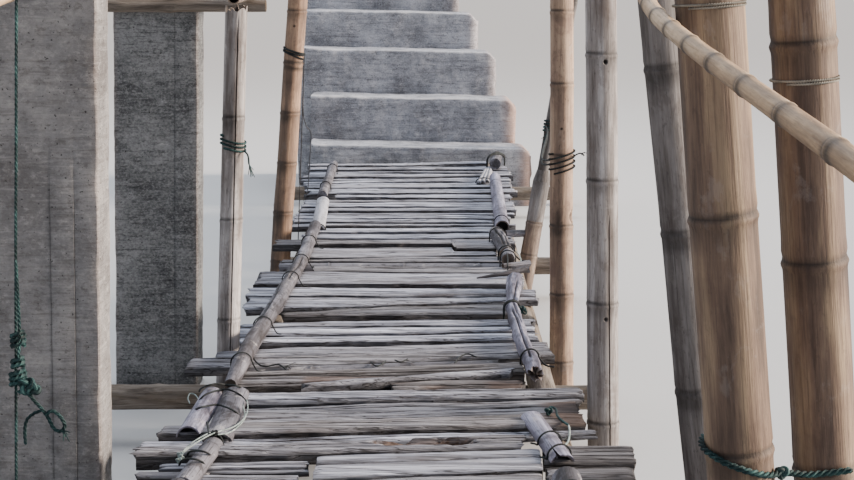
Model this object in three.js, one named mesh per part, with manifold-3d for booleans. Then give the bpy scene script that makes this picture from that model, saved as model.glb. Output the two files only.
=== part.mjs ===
import * as THREE from "three";
import { mergeVertices } from "three/addons/utils/BufferGeometryUtils.js";
import Module from "manifold-3d";

// Rustic rope suspension footbridge, in millimetres.
// While it is laid out, x runs across the bridge from its centre line (right is positive),
// y runs along it from the eye point at the near end, and z rises from the ground.

const wasm = await Module();
wasm.setup();

// Levels and shared sizes
const CONTACT = 0.3;
const DECK_TOP = 300;
const PLANK_THICKNESS = 30;
const STRINGER_DIAMETER = 85;
const TRANSOM_DIAMETER = 85;
const PLANK_SEAT = DECK_TOP - PLANK_THICKNESS;
const STRINGER_BOTTOM = PLANK_SEAT - STRINGER_DIAMETER;
const TRANSOM_AXIS = STRINGER_BOTTOM - TRANSOM_DIAMETER / 2 - CONTACT;
const STRINGER_X = [-455, 0, 455];
const SEAT_SINK = 2;
const POLE_SIDES = 8;
const ROPE_SIDES = 6;

// The walkway runs from the near sill to the bottom step
const DECK_START = 950;
const DECK_END = 9240 - CONTACT;

const MATERIALS = {
  deckWood: new THREE.MeshStandardMaterial({ color: 0x8c8580, roughness: 0.9 }),
  greyCane: new THREE.MeshStandardMaterial({ color: 0x96908a, roughness: 0.75 }),
  purpleCane: new THREE.MeshStandardMaterial({ color: 0x7a7480, roughness: 0.7 }),
  tanCane: new THREE.MeshStandardMaterial({ color: 0xaa825f, roughness: 0.6 }),
  redCane: new THREE.MeshStandardMaterial({ color: 0x966e5a, roughness: 0.6 }),
  brownCane: new THREE.MeshStandardMaterial({ color: 0x6e5a4b, roughness: 0.6 }),
  goldenCane: new THREE.MeshStandardMaterial({ color: 0xa58764, roughness: 0.55 }),
  log: new THREE.MeshStandardMaterial({ color: 0x6f675f, roughness: 0.9 }),
  concrete: new THREE.MeshStandardMaterial({ color: 0x696561, roughness: 0.95 }),
  stepStone: new THREE.MeshStandardMaterial({ color: 0x7d7873, roughness: 0.95 }),
  rope: new THREE.MeshStandardMaterial({ color: 0x1e3c37, roughness: 0.8 }),
  wire: new THREE.MeshStandardMaterial({ color: 0x2a2a2a, roughness: 0.5, metalness: 0.5 }),
};

const bridge = new THREE.Group();

function addPiece(name, geometry, material) {
  const piece = new THREE.Mesh(geometry, material);
  piece.name = name;
  bridge.add(piece);
}

// Solids for joining and cutting
function toSolid(geometry) {
  const plain = geometry.clone();
  plain.deleteAttribute("normal");
  plain.deleteAttribute("uv");
  const merged = mergeVertices(plain, 1e-3);
  const corners = merged.index.array;
  const kept = [];
  for (let i = 0; i < corners.length; i += 3) {
    const [a, b, c] = [corners[i], corners[i + 1], corners[i + 2]];
    if (a !== b && b !== c && c !== a) kept.push(a, b, c);
  }
  return new wasm.Manifold(new wasm.Mesh({
    numProp: 3,
    vertProperties: new Float32Array(merged.attributes.position.array),
    triVerts: new Uint32Array(kept),
  }));
}

function toGeometry(solid) {
  const mesh = solid.getMesh();
  const geometry = new THREE.BufferGeometry();
  geometry.setAttribute("position", new THREE.BufferAttribute(mesh.vertProperties, 3));
  geometry.setIndex(new THREE.BufferAttribute(mesh.triVerts, 1));
  geometry.computeVertexNormals();
  return geometry;
}

function joined(geometries) {
  return toGeometry(geometries.map(toSolid).reduce((sum, next) => sum.add(next)));
}

// A cane or log standing on z = 0: a turned profile with a swollen ring at each joint of the cane
function culm(length, footRadius, topRadius, ringSpacing, firstRing = ringSpacing) {
  const ringHalf = 9;
  const ringSwell = 1.05;
  const radiusAt = (z) => THREE.MathUtils.lerp(footRadius, topRadius, z / length);
  const profile = [new THREE.Vector2(0, 0), new THREE.Vector2(footRadius, 0)];
  if (ringSpacing > 0) {
    for (let z = firstRing; z < length - 2 * ringHalf; z += ringSpacing) {
      profile.push(new THREE.Vector2(radiusAt(z - ringHalf), z - ringHalf));
      profile.push(new THREE.Vector2(radiusAt(z) * ringSwell, z));
      profile.push(new THREE.Vector2(radiusAt(z + ringHalf), z + ringHalf));
    }
  }
  profile.push(new THREE.Vector2(topRadius, length), new THREE.Vector2(0, length));
  return new THREE.LatheGeometry(profile, POLE_SIDES).rotateX(Math.PI / 2);
}

// Leans an upright shape by a sideways shift that grows with height, so its foot stays flat
function leaned(geometry, slopeX, slopeY) {
  const shear = new THREE.Matrix4().set(
    1, 0, slopeX, 0,
    0, 1, slopeY, 0,
    0, 0, 1, 0,
    0, 0, 0, 1,
  );
  return geometry.applyMatrix4(shear);
}

// A leaning post from its place at walkway level, its slope per unit of height and its top
function post({ x, y, slope, diameter, taper = 0.93, top, ring = 330, firstRing }) {
  const shape = culm(top, diameter / 2, (diameter * taper) / 2, ring, firstRing);
  return leaned(shape, slope, 0).translate(x - slope * DECK_TOP, y, 0);
}

function postAxisX({ x, slope }, z) {
  return x + slope * (z - DECK_TOP);
}

function postRadius({ diameter, taper = 0.93, top }, z) {
  return THREE.MathUtils.lerp(diameter / 2, (diameter * taper) / 2, z / top);
}

// A straight cane between two points
function straightCane(from, to, footRadius, topRadius, ringSpacing, firstRing) {
  const start = new THREE.Vector3(...from);
  const along = new THREE.Vector3(...to).sub(start);
  const shape = culm(along.length(), footRadius, topRadius, ringSpacing, firstRing);
  const turn = new THREE.Quaternion();
  turn.setFromUnitVectors(new THREE.Vector3(0, 0, 1), along.clone().normalize());
  return shape.applyQuaternion(turn).translate(...from);
}

// A round bar swept along a smooth line through a few points
function sweptBar(points, radius, steps, sides) {
  const section = new THREE.Shape();
  for (let i = 0; i < sides; i += 1) {
    const turn = (2 * Math.PI * i) / sides;
    const [u, v] = [radius * Math.cos(turn), radius * Math.sin(turn)];
    if (i === 0) section.moveTo(u, v);
    else section.lineTo(u, v);
  }
  section.closePath();
  const path = new THREE.CatmullRomCurve3(points.map((p) => new THREE.Vector3(...p)));
  return new THREE.ExtrudeGeometry(section, { steps, extrudePath: path, bevelEnabled: false });
}

// A flat outline in plan, given thickness upwards from a base level
function slab(outline, base, thickness) {
  const shape = new THREE.Shape(outline.map(([x, y]) => new THREE.Vector2(x, y)));
  const solid = new THREE.ExtrudeGeometry(shape, { depth: thickness, bevelEnabled: false });
  return solid.translate(0, 0, base);
}

// A profile across y and z, run along x
function runAcross(profile, fromX, toX) {
  const shape = new THREE.Shape(profile.map(([y, z]) => new THREE.Vector2(y, z)));
  const solid = new THREE.ExtrudeGeometry(shape, { depth: toX - fromX, bevelEnabled: false });
  return solid.rotateX(Math.PI / 2).rotateZ(Math.PI / 2).translate(fromX, 0, 0);
}

// Walkway planks, near to far. Each row gives the near edge and the far edge as y at the
// two edge marks, the left and right ends as x, and the kind of piece.
const EDGE_MARK = 500;
const SEEN_PLANKS = [
  [3462, 3466, 3430, 3548, -170, 390, "strip"],
  [3478, 3500, 3515, 3540, -490, -195, "strip"],
  [3470, 3482, 3550, 3570, 400, 615, "board"],
  [3525, 3530, 3556, 3562, -630, -435, "strip"],
  [3440, 3563, 3600, 3724, -180, 392, "board"],
  [3566, 3600, 3622, 3660, -575, -190, "strip"],
  [3600, 3612, 3715, 3730, 415, 635, "board"],
  [3634, 3735, 3690, 3829, -655, 375, "rotten"],
  [3717, 3865, 3784, 3888, -655, 565, "strip"],
  [3793, 3898, 3884, 4020, -615, 535, "board"],
  [3896, 4032, 4035, 4145, -505, 535, "board"],
  [4046, 4161, 4100, 4200, -505, 555, "strip"],
  [4110, 4210, 4201, 4269, -505, 560, "board"],
  [4215, 4280, 4300, 4350, -20, 400, "strip"],
  [4248, 4388, 4340, 4398, -485, 20, "board"],
  [4168, 4411, 4195, 4459, -285, 375, "raised"],
  [4352, 4428, 4397, 4524, -505, 400, "board"],
  [4418, 4550, 4480, 4612, -470, 330, "cane"],
  [4493, 4620, 4608, 4689, -655, 505, "board"],
  [4616, 4697, 4717, 4833, -585, 500, "board"],
  [4796, 4861, 4872, 4952, -545, 475, "strip"],
  [4884, 4960, 4970, 5004, -555, 475, "board"],
  [4980, 5014, 5013, 5092, -555, 475, "board"],
  [5022, 5100, 5073, 5153, -555, 470, "strip"],
  [5134, 5195, 5172, 5385, -435, 420, "board"],
  [5272, 5420, 5440, 5480, -585, 515, "board"],
  [5450, 5490, 5597, 5602, -595, 510, "board"],
  [5652, 5648, 5878, 5850, -575, 475, "board"],
  [5892, 5865, 6000, 5998, -385, 450, "board"],
  [6020, 6010, 6082, 6072, -525, 520, "cane"],
  [6090, 6084, 6144, 6220, -525, 415, "board"],
  [6156, 6232, 6438, 6438, -445, 395, "notched"],
  [6450, 6450, 6585, 6590, -595, 490, "tongued"],
  [6596, 6600, 6735, 6740, -485, 475, "board"],
  [6745, 6750, 6866, 6905, -455, 415, "board"],
  [6920, 6975, 7003, 7022, -555, 515, "strip"],
  [7012, 7030, 7100, 7100, -565, 415, "board"],
  [7108, 7108, 7205, 7222, -565, 495, "board"],
  [7262, 7282, 7312, 7332, -565, 525, "strip"],
  [7335, 7350, 7425, 7455, -555, 535, "board"],
  [7437, 7467, 7600, 7640, -555, 535, "board"],
  [7615, 7690, 7710, 7735, -555, 515, "strip"],
  [7722, 7745, 7835, 7885, -405, 535, "board"],
  [7850, 7930, 7965, 8020, -555, 565, "board"],
  [7985, 8030, 8060, 8095, -585, 565, "strip"],
  [8072, 8105, 8170, 8235, -585, 565, "board"],
  [8182, 8247, 8262, 8345, -615, 560, "strip"],
  [8275, 8357, 8350, 8430, -615, 560, "strip"],
  [8362, 8442, 8438, 8500, -635, 560, "strip"],
  [8450, 8512, 8560, 8590, -635, 575, "board"],
  [8572, 8602, 8655, 8685, -615, 575, "strip"],
  [8667, 8697, 8740, 8770, -615, 580, "strip"],
  [8752, 8785, 8870, 8955, -625, 575, "board"],
  [8915, 9030, 9010, 9140, -645, 455, "board"],
];

// The stretch in front of the planks above repeats plain widths up to its last edge
const PLAIN_WIDTHS = [135, 60, 95, 110, 50, 145, 70, 85, 120, 55, 100];
const PLAIN_GAP = 10;
const PLAIN_END = 3455;
const PLAIN_STRIP_BELOW = 75;
const PLAIN_LEAST_REST = 60;
const PLAIN_ENDS = { left: -600, leftStep: 25, right: 535, rightStep: 15, rightMost: 552 };

function plainPlanks() {
  const rows = [];
  let near = DECK_START;
  for (let i = 0; near < PLAIN_END; i += 1) {
    const width = PLAIN_WIDTHS[i % PLAIN_WIDTHS.length];
    const far = near + width > PLAIN_END - PLAIN_LEAST_REST ? PLAIN_END : near + width;
    const kind = width < PLAIN_STRIP_BELOW ? "strip" : "board";
    const left = PLAIN_ENDS.left - PLAIN_ENDS.leftStep * (i % 3);
    const right = PLAIN_ENDS.right + PLAIN_ENDS.rightStep * ((i * 2) % 3);
    rows.push([near, near, far, far, left, Math.min(right, PLAIN_ENDS.rightMost), kind]);
    near = far + PLAIN_GAP;
  }
  return rows;
}

function edgeAt(atLeft, atRight, x) {
  return THREE.MathUtils.mapLinear(x, -EDGE_MARK, EDGE_MARK, atLeft, atRight);
}

const NOTCH_X = 200;
const NOTCH_DEPTH = 100;
const NOTCH_GAP = 8;
const TONGUE_INSET = 95;
const STRIP_DROP = 6;
const RAISED_LIFT = 28;

function plankGeometry([nearL, nearR, farL, farR, left, right, kind]) {
  const near = (x) => edgeAt(nearL, nearR, x);
  const far = (x) => edgeAt(farL, farR, x);
  const base = PLANK_SEAT - SEAT_SINK;
  const height = DECK_TOP - base;
  let outline = [[left, near(left)], [right, near(right)], [right, far(right)], [left, far(left)]];
  if (kind === "notched") {
    outline = [
      [left, near(left)], [right, near(right)], [right, far(right) - NOTCH_DEPTH],
      [NOTCH_X, far(NOTCH_X) - NOTCH_DEPTH], [NOTCH_X, far(NOTCH_X)], [left, far(left)],
    ];
  }
  if (kind === "tongued") {
    const inner = NOTCH_X + NOTCH_GAP;
    const outer = right - TONGUE_INSET;
    outline = [
      [left, near(left)], [inner, near(inner)], [inner, near(inner) - NOTCH_DEPTH],
      [outer, near(right) - NOTCH_DEPTH], [outer, near(right)], [right, near(right)],
      [right, far(right)], [left, far(left)],
    ];
  }
  if (kind === "raised") {
    return slab(outline, DECK_TOP - 2 * STRIP_DROP, RAISED_LIFT);
  }
  if (kind === "cane") {
    const radius = (farL - nearL) / 2;
    const middle = new THREE.Vector3(left, (near(left) + far(left)) / 2, base);
    const end = new THREE.Vector3(right, (near(right) + far(right)) / 2, base);
    const rise = height / radius;
    const half = new THREE.Shape();
    half.absarc(0, 0, radius, 0, Math.PI, false);
    half.closePath();
    const length = middle.distanceTo(end);
    const bar = new THREE.ExtrudeGeometry(half, { depth: length, curveSegments: 8, bevelEnabled: false });
    const turn = Math.atan2(end.y - middle.y, end.x - middle.x);
    bar.scale(1, rise, 1).rotateX(Math.PI / 2).rotateZ(Math.PI / 2 + turn);
    return bar.translate(middle.x, middle.y, middle.z);
  }
  return slab(outline, base, kind === "strip" ? height - STRIP_DROP : height);
}

const BAY_STARTS = [DECK_START, 2300, 3455, 4796, 6156, 7437];

function deckBays() {
  const planks = [...plainPlanks(), ...SEEN_PLANKS];
  const firstOf = BAY_STARTS.map((start) => planks.find(([nearL]) => nearL >= start - 1));
  BAY_STARTS.forEach((start, bay) => {
    const first = planks.indexOf(firstOf[bay]);
    const last = bay + 1 < BAY_STARTS.length ? planks.indexOf(firstOf[bay + 1]) : planks.length;
    const parts = planks.slice(first, last).map(plankGeometry);
    for (const x of STRINGER_X) {
      const from = bay === 0 ? DECK_START : seamAt(planks[first], planks[first - 1], x) + CONTACT;
      const to = bay + 1 < BAY_STARTS.length ? seamAt(planks[last], planks[last - 1], x) : DECK_END;
      parts.push(straightCane([x, from, STRINGER_BOTTOM + STRINGER_DIAMETER / 2],
        [x, to, STRINGER_BOTTOM + STRINGER_DIAMETER / 2],
        STRINGER_DIAMETER / 2, STRINGER_DIAMETER / 2, 0));
    }
    addPiece(`deck_bay_${bay + 1}`, joined(parts), MATERIALS.deckWood);
  });
}

// The line between two neighbouring planks, where one bay's stringers end and the next begin
function seamAt(plankAfter, plankBefore, x) {
  const after = edgeAt(plankAfter[0], plankAfter[1], x);
  const before = edgeAt(plankBefore[2], plankBefore[3], x);
  return (after + before) / 2;
}

deckBays();

// Near sill: the concrete block that carries the near ends of the stringers
const SILL = { front: 620, back: 1200, ledge: 940, halfWidth: 780 };
addPiece("near_sill", runAcross([
  [SILL.front, 0], [SILL.back, 0], [SILL.back, STRINGER_BOTTOM - CONTACT],
  [SILL.ledge, STRINGER_BOTTOM - CONTACT], [SILL.ledge, DECK_TOP], [SILL.front, DECK_TOP],
], -SILL.halfWidth, SILL.halfWidth), MATERIALS.concrete);

// Posts: place at walkway level, sideways slope, girth and top
const POSTS = {
  post_right_1: { x: 608, y: 2050, slope: -0.101, diameter: 98, top: 2250, ring: 340, firstRing: 183 },
  post_right_2: { x: 741, y: 2100, slope: -0.099, diameter: 94, top: 2230, ring: 310, firstRing: 200 },
  post_right_3: { x: 700, y: 2950, slope: -0.128, diameter: 80, top: 1750, ring: 330, firstRing: 355 },
  post_right_4: { x: 598, y: 4080, slope: -0.029, diameter: 90, top: 1660, ring: 345, firstRing: 250 },
  post_right_5: { x: 578, y: 5240, slope: -0.016, diameter: 86, top: 1600, ring: 250, firstRing: 103 },
  post_left_near: { x: -712, y: 2050, slope: 0.08, diameter: 94, top: 2250, ring: 320, firstRing: 260 },
  post_left_short: { x: -554, y: 4755, slope: 0.048, diameter: 75, top: 1400, ring: 0 },
  post_left_far: { x: -567, y: 6660, slope: 0.083, diameter: 90, top: 1700, ring: 225, firstRing: 182 },
  mast_left_end: { x: -805, y: 9300, slope: 0.08, diameter: 90, top: 2200, ring: 330, firstRing: 230 },
  mast_right_end: { x: 925, y: 9300, slope: -0.04, diameter: 90, top: 2200, ring: 330, firstRing: 180 },
};
const POST_MATERIAL = {
  post_right_1: MATERIALS.brownCane,
  post_right_2: MATERIALS.brownCane,
  post_right_4: MATERIALS.greyCane,
  post_right_5: MATERIALS.redCane,
  post_left_short: MATERIALS.greyCane,
};
for (const [name, size] of Object.entries(POSTS)) {
  addPiece(name, post(size), POST_MATERIAL[name] ?? MATERIALS.tanCane);
}

// Cross poles under the walkway, from the near sill to the far masts
const SHORT_POST = POSTS.post_left_short;
const FAR_POST = POSTS.post_left_far;
const transomReach = (size) => postRadius(size, TRANSOM_AXIS) + TRANSOM_DIAMETER / 2 + CONTACT;
const transomBefore = (size) => size.y - transomReach(size);
const transomBehind = (size) => size.y + transomReach(size);
const TRANSOMS = [
  { y: transomBehind(POSTS.post_right_2), left: -840, right: 900 },
  { y: 3400, left: -1010, right: 900 },
  { y: transomBefore(SHORT_POST), left: -1020, right: 700 },
  { y: transomBehind(FAR_POST), left: -610, right: 745 },
  { y: 8850, left: -800, right: 940 },
];
TRANSOMS.forEach(({ y, left, right }, i) => {
  const radius = TRANSOM_DIAMETER / 2;
  const shape = straightCane([left, y, TRANSOM_AXIS], [right, y, TRANSOM_AXIS], radius, radius, 0);
  addPiece(`transom_${i + 1}`, shape, MATERIALS.log);
});

// Sloping brace on the far right: a thick hollow foot piece with a thinner pole set on it
const BRACE = { x: 565, slope: 0.153, footDiameter: 79, poleDiameter: 53, split: 600, top: 1720 };
const braceY = TRANSOMS[3].y - TRANSOM_DIAMETER / 2 - BRACE.footDiameter / 2 - CONTACT;
const braceFootX = BRACE.x - BRACE.slope * DECK_TOP;
addPiece("brace_foot", leaned(
  culm(BRACE.split, BRACE.footDiameter / 2, BRACE.footDiameter / 2 - 1, 0),
  BRACE.slope, 0,
).translate(braceFootX, braceY, 0), MATERIALS.tanCane);
addPiece("brace_pole", leaned(
  culm(BRACE.top - BRACE.split - CONTACT, BRACE.poleDiameter / 2, BRACE.poleDiameter / 2 - 2, 290, 170),
  BRACE.slope, 0,
).translate(braceFootX + BRACE.slope * BRACE.split, braceY, BRACE.split + CONTACT), MATERIALS.greyCane);

// Board-marked concrete pillars on the left, leaning in a little
const PILLAR = { width: 298, depth: 137, top: 2130, slope: 0.031, footX: -889 };
const PILLAR_FRONTS = { pillar_near: 3650, pillar_far: 5250 };
for (const [name, front] of Object.entries(PILLAR_FRONTS)) {
  const block = new THREE.BoxGeometry(PILLAR.width, PILLAR.depth, PILLAR.top);
  block.translate(0, 0, PILLAR.top / 2);
  leaned(block, PILLAR.slope, 0).translate(PILLAR.footX, front + PILLAR.depth / 2, 0);
  addPiece(name, block, MATERIALS.concrete);
}

// Stair at the far end: five concrete steps standing on the ground. Their tops fall a little to
// the right, and each is set further to the left than the one below.
const STAIR = {
  front: DECK_END + CONTACT,
  tread: 280,
  tops: [375, 650, 930, 1165, 1430],
  lefts: [-655, -668, -760, -800, -830],
  rights: [735, 650, 534, 420, 300],
  sideFall: 0.021,
  round: 60,
  sunk: 100,
  reach: 4000,
};
STAIR.tops.forEach((top, i) => {
  const [left, right] = [STAIR.lefts[i], STAIR.rights[i]];
  const front = STAIR.front + i * (STAIR.tread + CONTACT);
  const back = front + STAIR.tread;
  const outline = new THREE.Shape();
  outline.moveTo(left, front);
  outline.lineTo(right - STAIR.round, front);
  outline.absarc(right - STAIR.round, front + STAIR.round, STAIR.round, -Math.PI / 2, 0, false);
  outline.lineTo(right, back);
  outline.lineTo(left, back);
  outline.closePath();
  const block = new THREE.ExtrudeGeometry(outline, {
    depth: top + STAIR.sunk,
    curveSegments: 5,
    bevelEnabled: false,
  });
  const fall = new THREE.Matrix4().set(
    1, 0, 0, 0,
    0, 1, 0, 0,
    -STAIR.sideFall, 0, 1, -STAIR.sunk,
    0, 0, 0, 1,
  );
  const aboveGround = new THREE.BoxGeometry(STAIR.reach, STAIR.reach, 2 * top).translate(0, front, top);
  const step = toSolid(block.applyMatrix4(fall)).intersect(toSolid(aboveGround));
  addPiece(`step_${i + 1}`, toGeometry(step), MATERIALS.stepStone);
});

// Kerbs: lengths of cane and branch lying end to end on the planks
const KERB_LIFT = DECK_TOP + CONTACT;
const SLAT_THICKNESS = 22;
function kerbPole(name, points, diameter, material) {
  const path = points.map(([x, y]) => [x, y, KERB_LIFT + diameter / 2]);
  const radius = diameter / 2;
  if (path.length === 2) {
    addPiece(name, straightCane(path[0], path[1], radius, radius * 0.95, 0), material);
    return;
  }
  addPiece(name, sweptBar(path, radius, 2 * path.length, POLE_SIDES), material);
}

// A split cane lying with its hollow side down, closed by its own wall
function kerbShell(name, from, to, width, wall, material) {
  const radius = width / 2;
  const section = new THREE.Shape();
  section.absarc(0, 0, radius, 0, Math.PI, false);
  section.absarc(0, 0, radius - wall, Math.PI, 0, true);
  section.closePath();
  const start = new THREE.Vector3(from[0], from[1], KERB_LIFT);
  const along = new THREE.Vector3(to[0], to[1], KERB_LIFT).sub(start);
  const options = { depth: along.length(), curveSegments: 8, bevelEnabled: false };
  const shell = new THREE.ExtrudeGeometry(section, options).rotateX(Math.PI / 2);
  shell.rotateZ(Math.atan2(along.y, along.x) - Math.PI / 2).rotateZ(Math.PI);
  addPiece(name, shell.translate(start.x, start.y, start.z), material);
}

kerbPole("kerb_left_1", [[-470, 8780], [-455, 7630]], 52, MATERIALS.greyCane);
kerbShell("kerb_left_2", [-450, 7610], [-414, 6790], 66, 8, MATERIALS.greyCane);
kerbPole("kerb_left_3", [
  [-424, 6760], [-421, 6400], [-419, 5984], [-430, 5640], [-441, 5277],
  [-454, 4930], [-468, 4590], [-470, 4400], [-472, 4185],
], 54, MATERIALS.greyCane);
kerbShell("kerb_left_4", [-505, 4150], [-524, 3775], 62, 8, MATERIALS.purpleCane);
addPiece("kerb_left_5", slab([
  [-469, 4150], [-436, 4165], [-412, 4100], [-402, 3890], [-409, 3748], [-488, 3748], [-478, 4000],
], KERB_LIFT, SLAT_THICKNESS), MATERIALS.greyCane);
kerbShell("kerb_left_6", [-461, 3722], [-500, 3440], 56, 9, MATERIALS.greyCane);
kerbPole("kerb_left_7", [[-478, 3320], [-490, 2300], [-480, 1050]], 60, MATERIALS.greyCane);

kerbPole("kerb_right_1", [[482, 8760], [505, 9110]], 66, MATERIALS.greyCane);
kerbShell("kerb_right_2", [437, 8670], [391, 8165], 56, 7, MATERIALS.greyCane);
kerbPole("kerb_right_3", [[458, 8205], [430, 6690]], 64, MATERIALS.greyCane);
kerbPole("kerb_right_4", [[396, 6570], [410, 6350], [423, 6126], [422, 5985]], 58, MATERIALS.greyCane);
kerbPole("kerb_right_5", [
  [427, 5600], [412, 5420], [398, 5229], [395, 5132], [401, 4840], [407, 4625], [416, 4490], [421, 4300],
], 48, MATERIALS.greyCane);
kerbShell("kerb_right_6", [386, 3955], [440, 3610], 60, 9, MATERIALS.greyCane);
kerbPole("kerb_right_7", [[430, 3360], [440, 2300], [425, 1050]], 74, MATERIALS.greyCane);

// Handrails: thin canes that run along the inside of the posts
const RAIL_CLEARANCE = 0.7;
const RAIL = { diameter: 31, leftDiameter: 40 };
const RAIL_START_Y = 950;
const RAIL_END_Y = 9430;
const RAIL_LAP = { from: 3850, to: 4330, drift: 4 };
const insideOf = (size, z, girth) => (
  postAxisX(size, z) - Math.sign(size.x) * (postRadius(size, z) + girth / 2 + RAIL_CLEARANCE)
);
const RIGHT_RAIL_HEIGHTS = { start: 1404, first: 1466, third: 1520, fourth: 1545, fifth: 1580, end: 1590 };

// A rail's point beside a post, at one of the heights above
function railBeside(name, height, along = 0) {
  const z = RIGHT_RAIL_HEIGHTS[height];
  return [insideOf(POSTS[name], z, RAIL.diameter) + along, POSTS[name].y, z];
}

const railNear = [
  [415, RAIL_START_Y, RIGHT_RAIL_HEIGHTS.start],
  railBeside("post_right_1", "first"),
  railBeside("post_right_3", "third", RAIL_CLEARANCE),
  railBeside("post_right_4", "fourth"),
  [500, RAIL_LAP.to, RIGHT_RAIL_HEIGHTS.fourth],
];
const railRadius = RAIL.diameter / 2;
addPiece("handrail_right_near", sweptBar(railNear, railRadius, 16, POLE_SIDES), MATERIALS.goldenCane);

const lapZ = RIGHT_RAIL_HEIGHTS.fourth + RAIL.diameter + 3 * CONTACT;
const lapX = insideOf(POSTS.post_right_4, lapZ, RAIL.diameter);
const [railEndX, , railEndZ] = railBeside("mast_right_end", "end");
const railFar = [
  [lapX - RAIL_LAP.drift, RAIL_LAP.from, lapZ],
  [lapX, POSTS.post_right_4.y, lapZ],
  [lapX - RAIL_LAP.drift, RAIL_LAP.to, lapZ],
  railBeside("post_right_5", "fifth"),
  [655, 6700, RIGHT_RAIL_HEIGHTS.end],
  railBeside("mast_right_end", "end"),
  [railEndX - RAIL_LAP.drift, RAIL_END_Y, railEndZ],
];
addPiece("handrail_right_far", sweptBar(railFar, railRadius, 24, POLE_SIDES), MATERIALS.goldenCane);

// Left handrails: one to the near pillar, one from the top of the short post to the far mast
const LEFT_RAIL = { near: 1404, mast: 1470, middle: 1505, pillar: 1520, end: 1500 };
const LEFT_RAIL_STOP = { fromEdge: 25, straight: 120 };
const NEAR_MAST = POSTS.post_left_near;
const pillarInside = (z) => PILLAR.footX + PILLAR.slope * z + PILLAR.width / 2;
const leftRailNearEnd = pillarInside(LEFT_RAIL.pillar) - LEFT_RAIL_STOP.fromEdge;
const leftRailNear = [
  [-560, RAIL_START_Y, LEFT_RAIL.near],
  [insideOf(NEAR_MAST, LEFT_RAIL.mast, RAIL.diameter), NEAR_MAST.y, LEFT_RAIL.mast],
  [-640, 2900, LEFT_RAIL.middle],
  [leftRailNearEnd, PILLAR_FRONTS.pillar_near - LEFT_RAIL_STOP.straight, LEFT_RAIL.pillar],
  [leftRailNearEnd, PILLAR_FRONTS.pillar_near - 2 * CONTACT, LEFT_RAIL.pillar],
];
addPiece("handrail_left_near", sweptBar(leftRailNear, railRadius, 14, POLE_SIDES), MATERIALS.goldenCane);

const farRailRadius = RAIL.leftDiameter / 2;
const railOnPost = SHORT_POST.top + farRailRadius + CONTACT;
const farPostEdge = postAxisX(FAR_POST, railOnPost) - postRadius(FAR_POST, railOnPost);
const outsideOfFarPost = farPostEdge - farRailRadius - CONTACT;
const shortTopX = postAxisX(SHORT_POST, SHORT_POST.top);
const leftEndX = insideOf(POSTS.mast_left_end, LEFT_RAIL.end, RAIL.leftDiameter);
const leftRailFar = [
  [shortTopX, 4690, railOnPost],
  [shortTopX - 2, 4830, railOnPost],
  [-520, 5400, railOnPost + 2],
  [outsideOfFarPost, FAR_POST.y, railOnPost + 5],
  [-620, 8000, LEFT_RAIL.end - 25],
  [leftEndX, POSTS.mast_left_end.y, LEFT_RAIL.end],
  [leftEndX + RAIL_LAP.drift, RAIL_END_Y, LEFT_RAIL.end],
];
addPiece("handrail_left_far", sweptBar(leftRailFar, farRailRadius, 24, POLE_SIDES), MATERIALS.tanCane);

// Tie pole across the far pillar's face, carried under the left handrail
const TIE = { diameter: 45, left: -1040, right: -460 };
const tieY = PILLAR_FRONTS.pillar_far - TIE.diameter / 2 - CONTACT;
const tieZ = railOnPost - farRailRadius - TIE.diameter / 2 - CONTACT;
addPiece("pillar_tie_pole", straightCane(
  [TIE.left, tieY, tieZ], [TIE.right, tieY, tieZ], TIE.diameter / 2, TIE.diameter / 2 - 1, 0,
), MATERIALS.log);

// Ropes: each side is one rope from the sill over the masts to the top step, with its hangers
const ROPE = { diameter: 24, hanger: 12, loopHeight: 30, loopWall: 18 };
const ropeRadius = ROPE.diameter / 2;
const LOOP_CLEARANCE = CONTACT;
const LOOP_LEVEL = { near: 2150, end: 2100 };
const saddleZ = PILLAR.top + ropeRadius + CONTACT;
const saddleX = PILLAR.footX + PILLAR.slope * PILLAR.top;
const stepTopZ = (x) => STAIR.tops[4] - STAIR.sideFall * x + ropeRadius + CONTACT;

// A sagging run between two supports, without its last point
function saggingRun(from, to, sag, pieces) {
  return Array.from({ length: pieces }, (_, i) => {
    const t = i / pieces;
    const [x, y, z] = from.map((value, axis) => THREE.MathUtils.lerp(value, to[axis], t));
    return [x, y, z - 4 * sag * t * (1 - t)];
  });
}

function ropeRun(points, radius = ropeRadius) {
  return toSolid(sweptBar(points, radius, Math.max(1, 2 * points.length - 2), ROPE_SIDES));
}

// A loop round one post, or round two posts that stand together
function loopBlank(size, z, wall, height) {
  const radius = postRadius(size, z) + wall;
  const blank = new THREE.CylinderGeometry(radius, radius, height, POLE_SIDES).rotateX(Math.PI / 2);
  return toSolid(leaned(blank, size.slope, 0).translate(postAxisX(size, z), size.y, z));
}

function postLoop(sizes, z) {
  const wall = (size) => loopBlank(size, z, ROPE.loopWall, ROPE.loopHeight);
  const hole = (size) => loopBlank(size, z, LOOP_CLEARANCE, 2 * ROPE.loopHeight);
  const solidWall = sizes.map(wall).reduce((sum, next) => sum.add(next));
  return sizes.map(hole).reduce((rest, next) => rest.subtract(next), solidWall);
}

// Where a rope leaves a loop, on its near side (-1) or its far side (+1)
function loopSide(size, z, side) {
  const reach = postRadius(size, z) + 0.75 * ROPE.loopWall;
  return [postAxisX(size, z), size.y + side * reach, z];
}

// A loop round a cross pole, where a hanger ends
function poleLoop(transom, x) {
  const radius = TRANSOM_DIAMETER / 2;
  const ring = (r, width) => {
    const blank = new THREE.CylinderGeometry(r, r, width, POLE_SIDES).rotateZ(Math.PI / 2);
    return toSolid(blank.translate(x, transom.y, TRANSOM_AXIS));
  };
  return ring(radius + ROPE.hanger, ROPE.hanger * 2).subtract(ring(radius + CONTACT, ROPE.hanger * 3));
}

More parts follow.
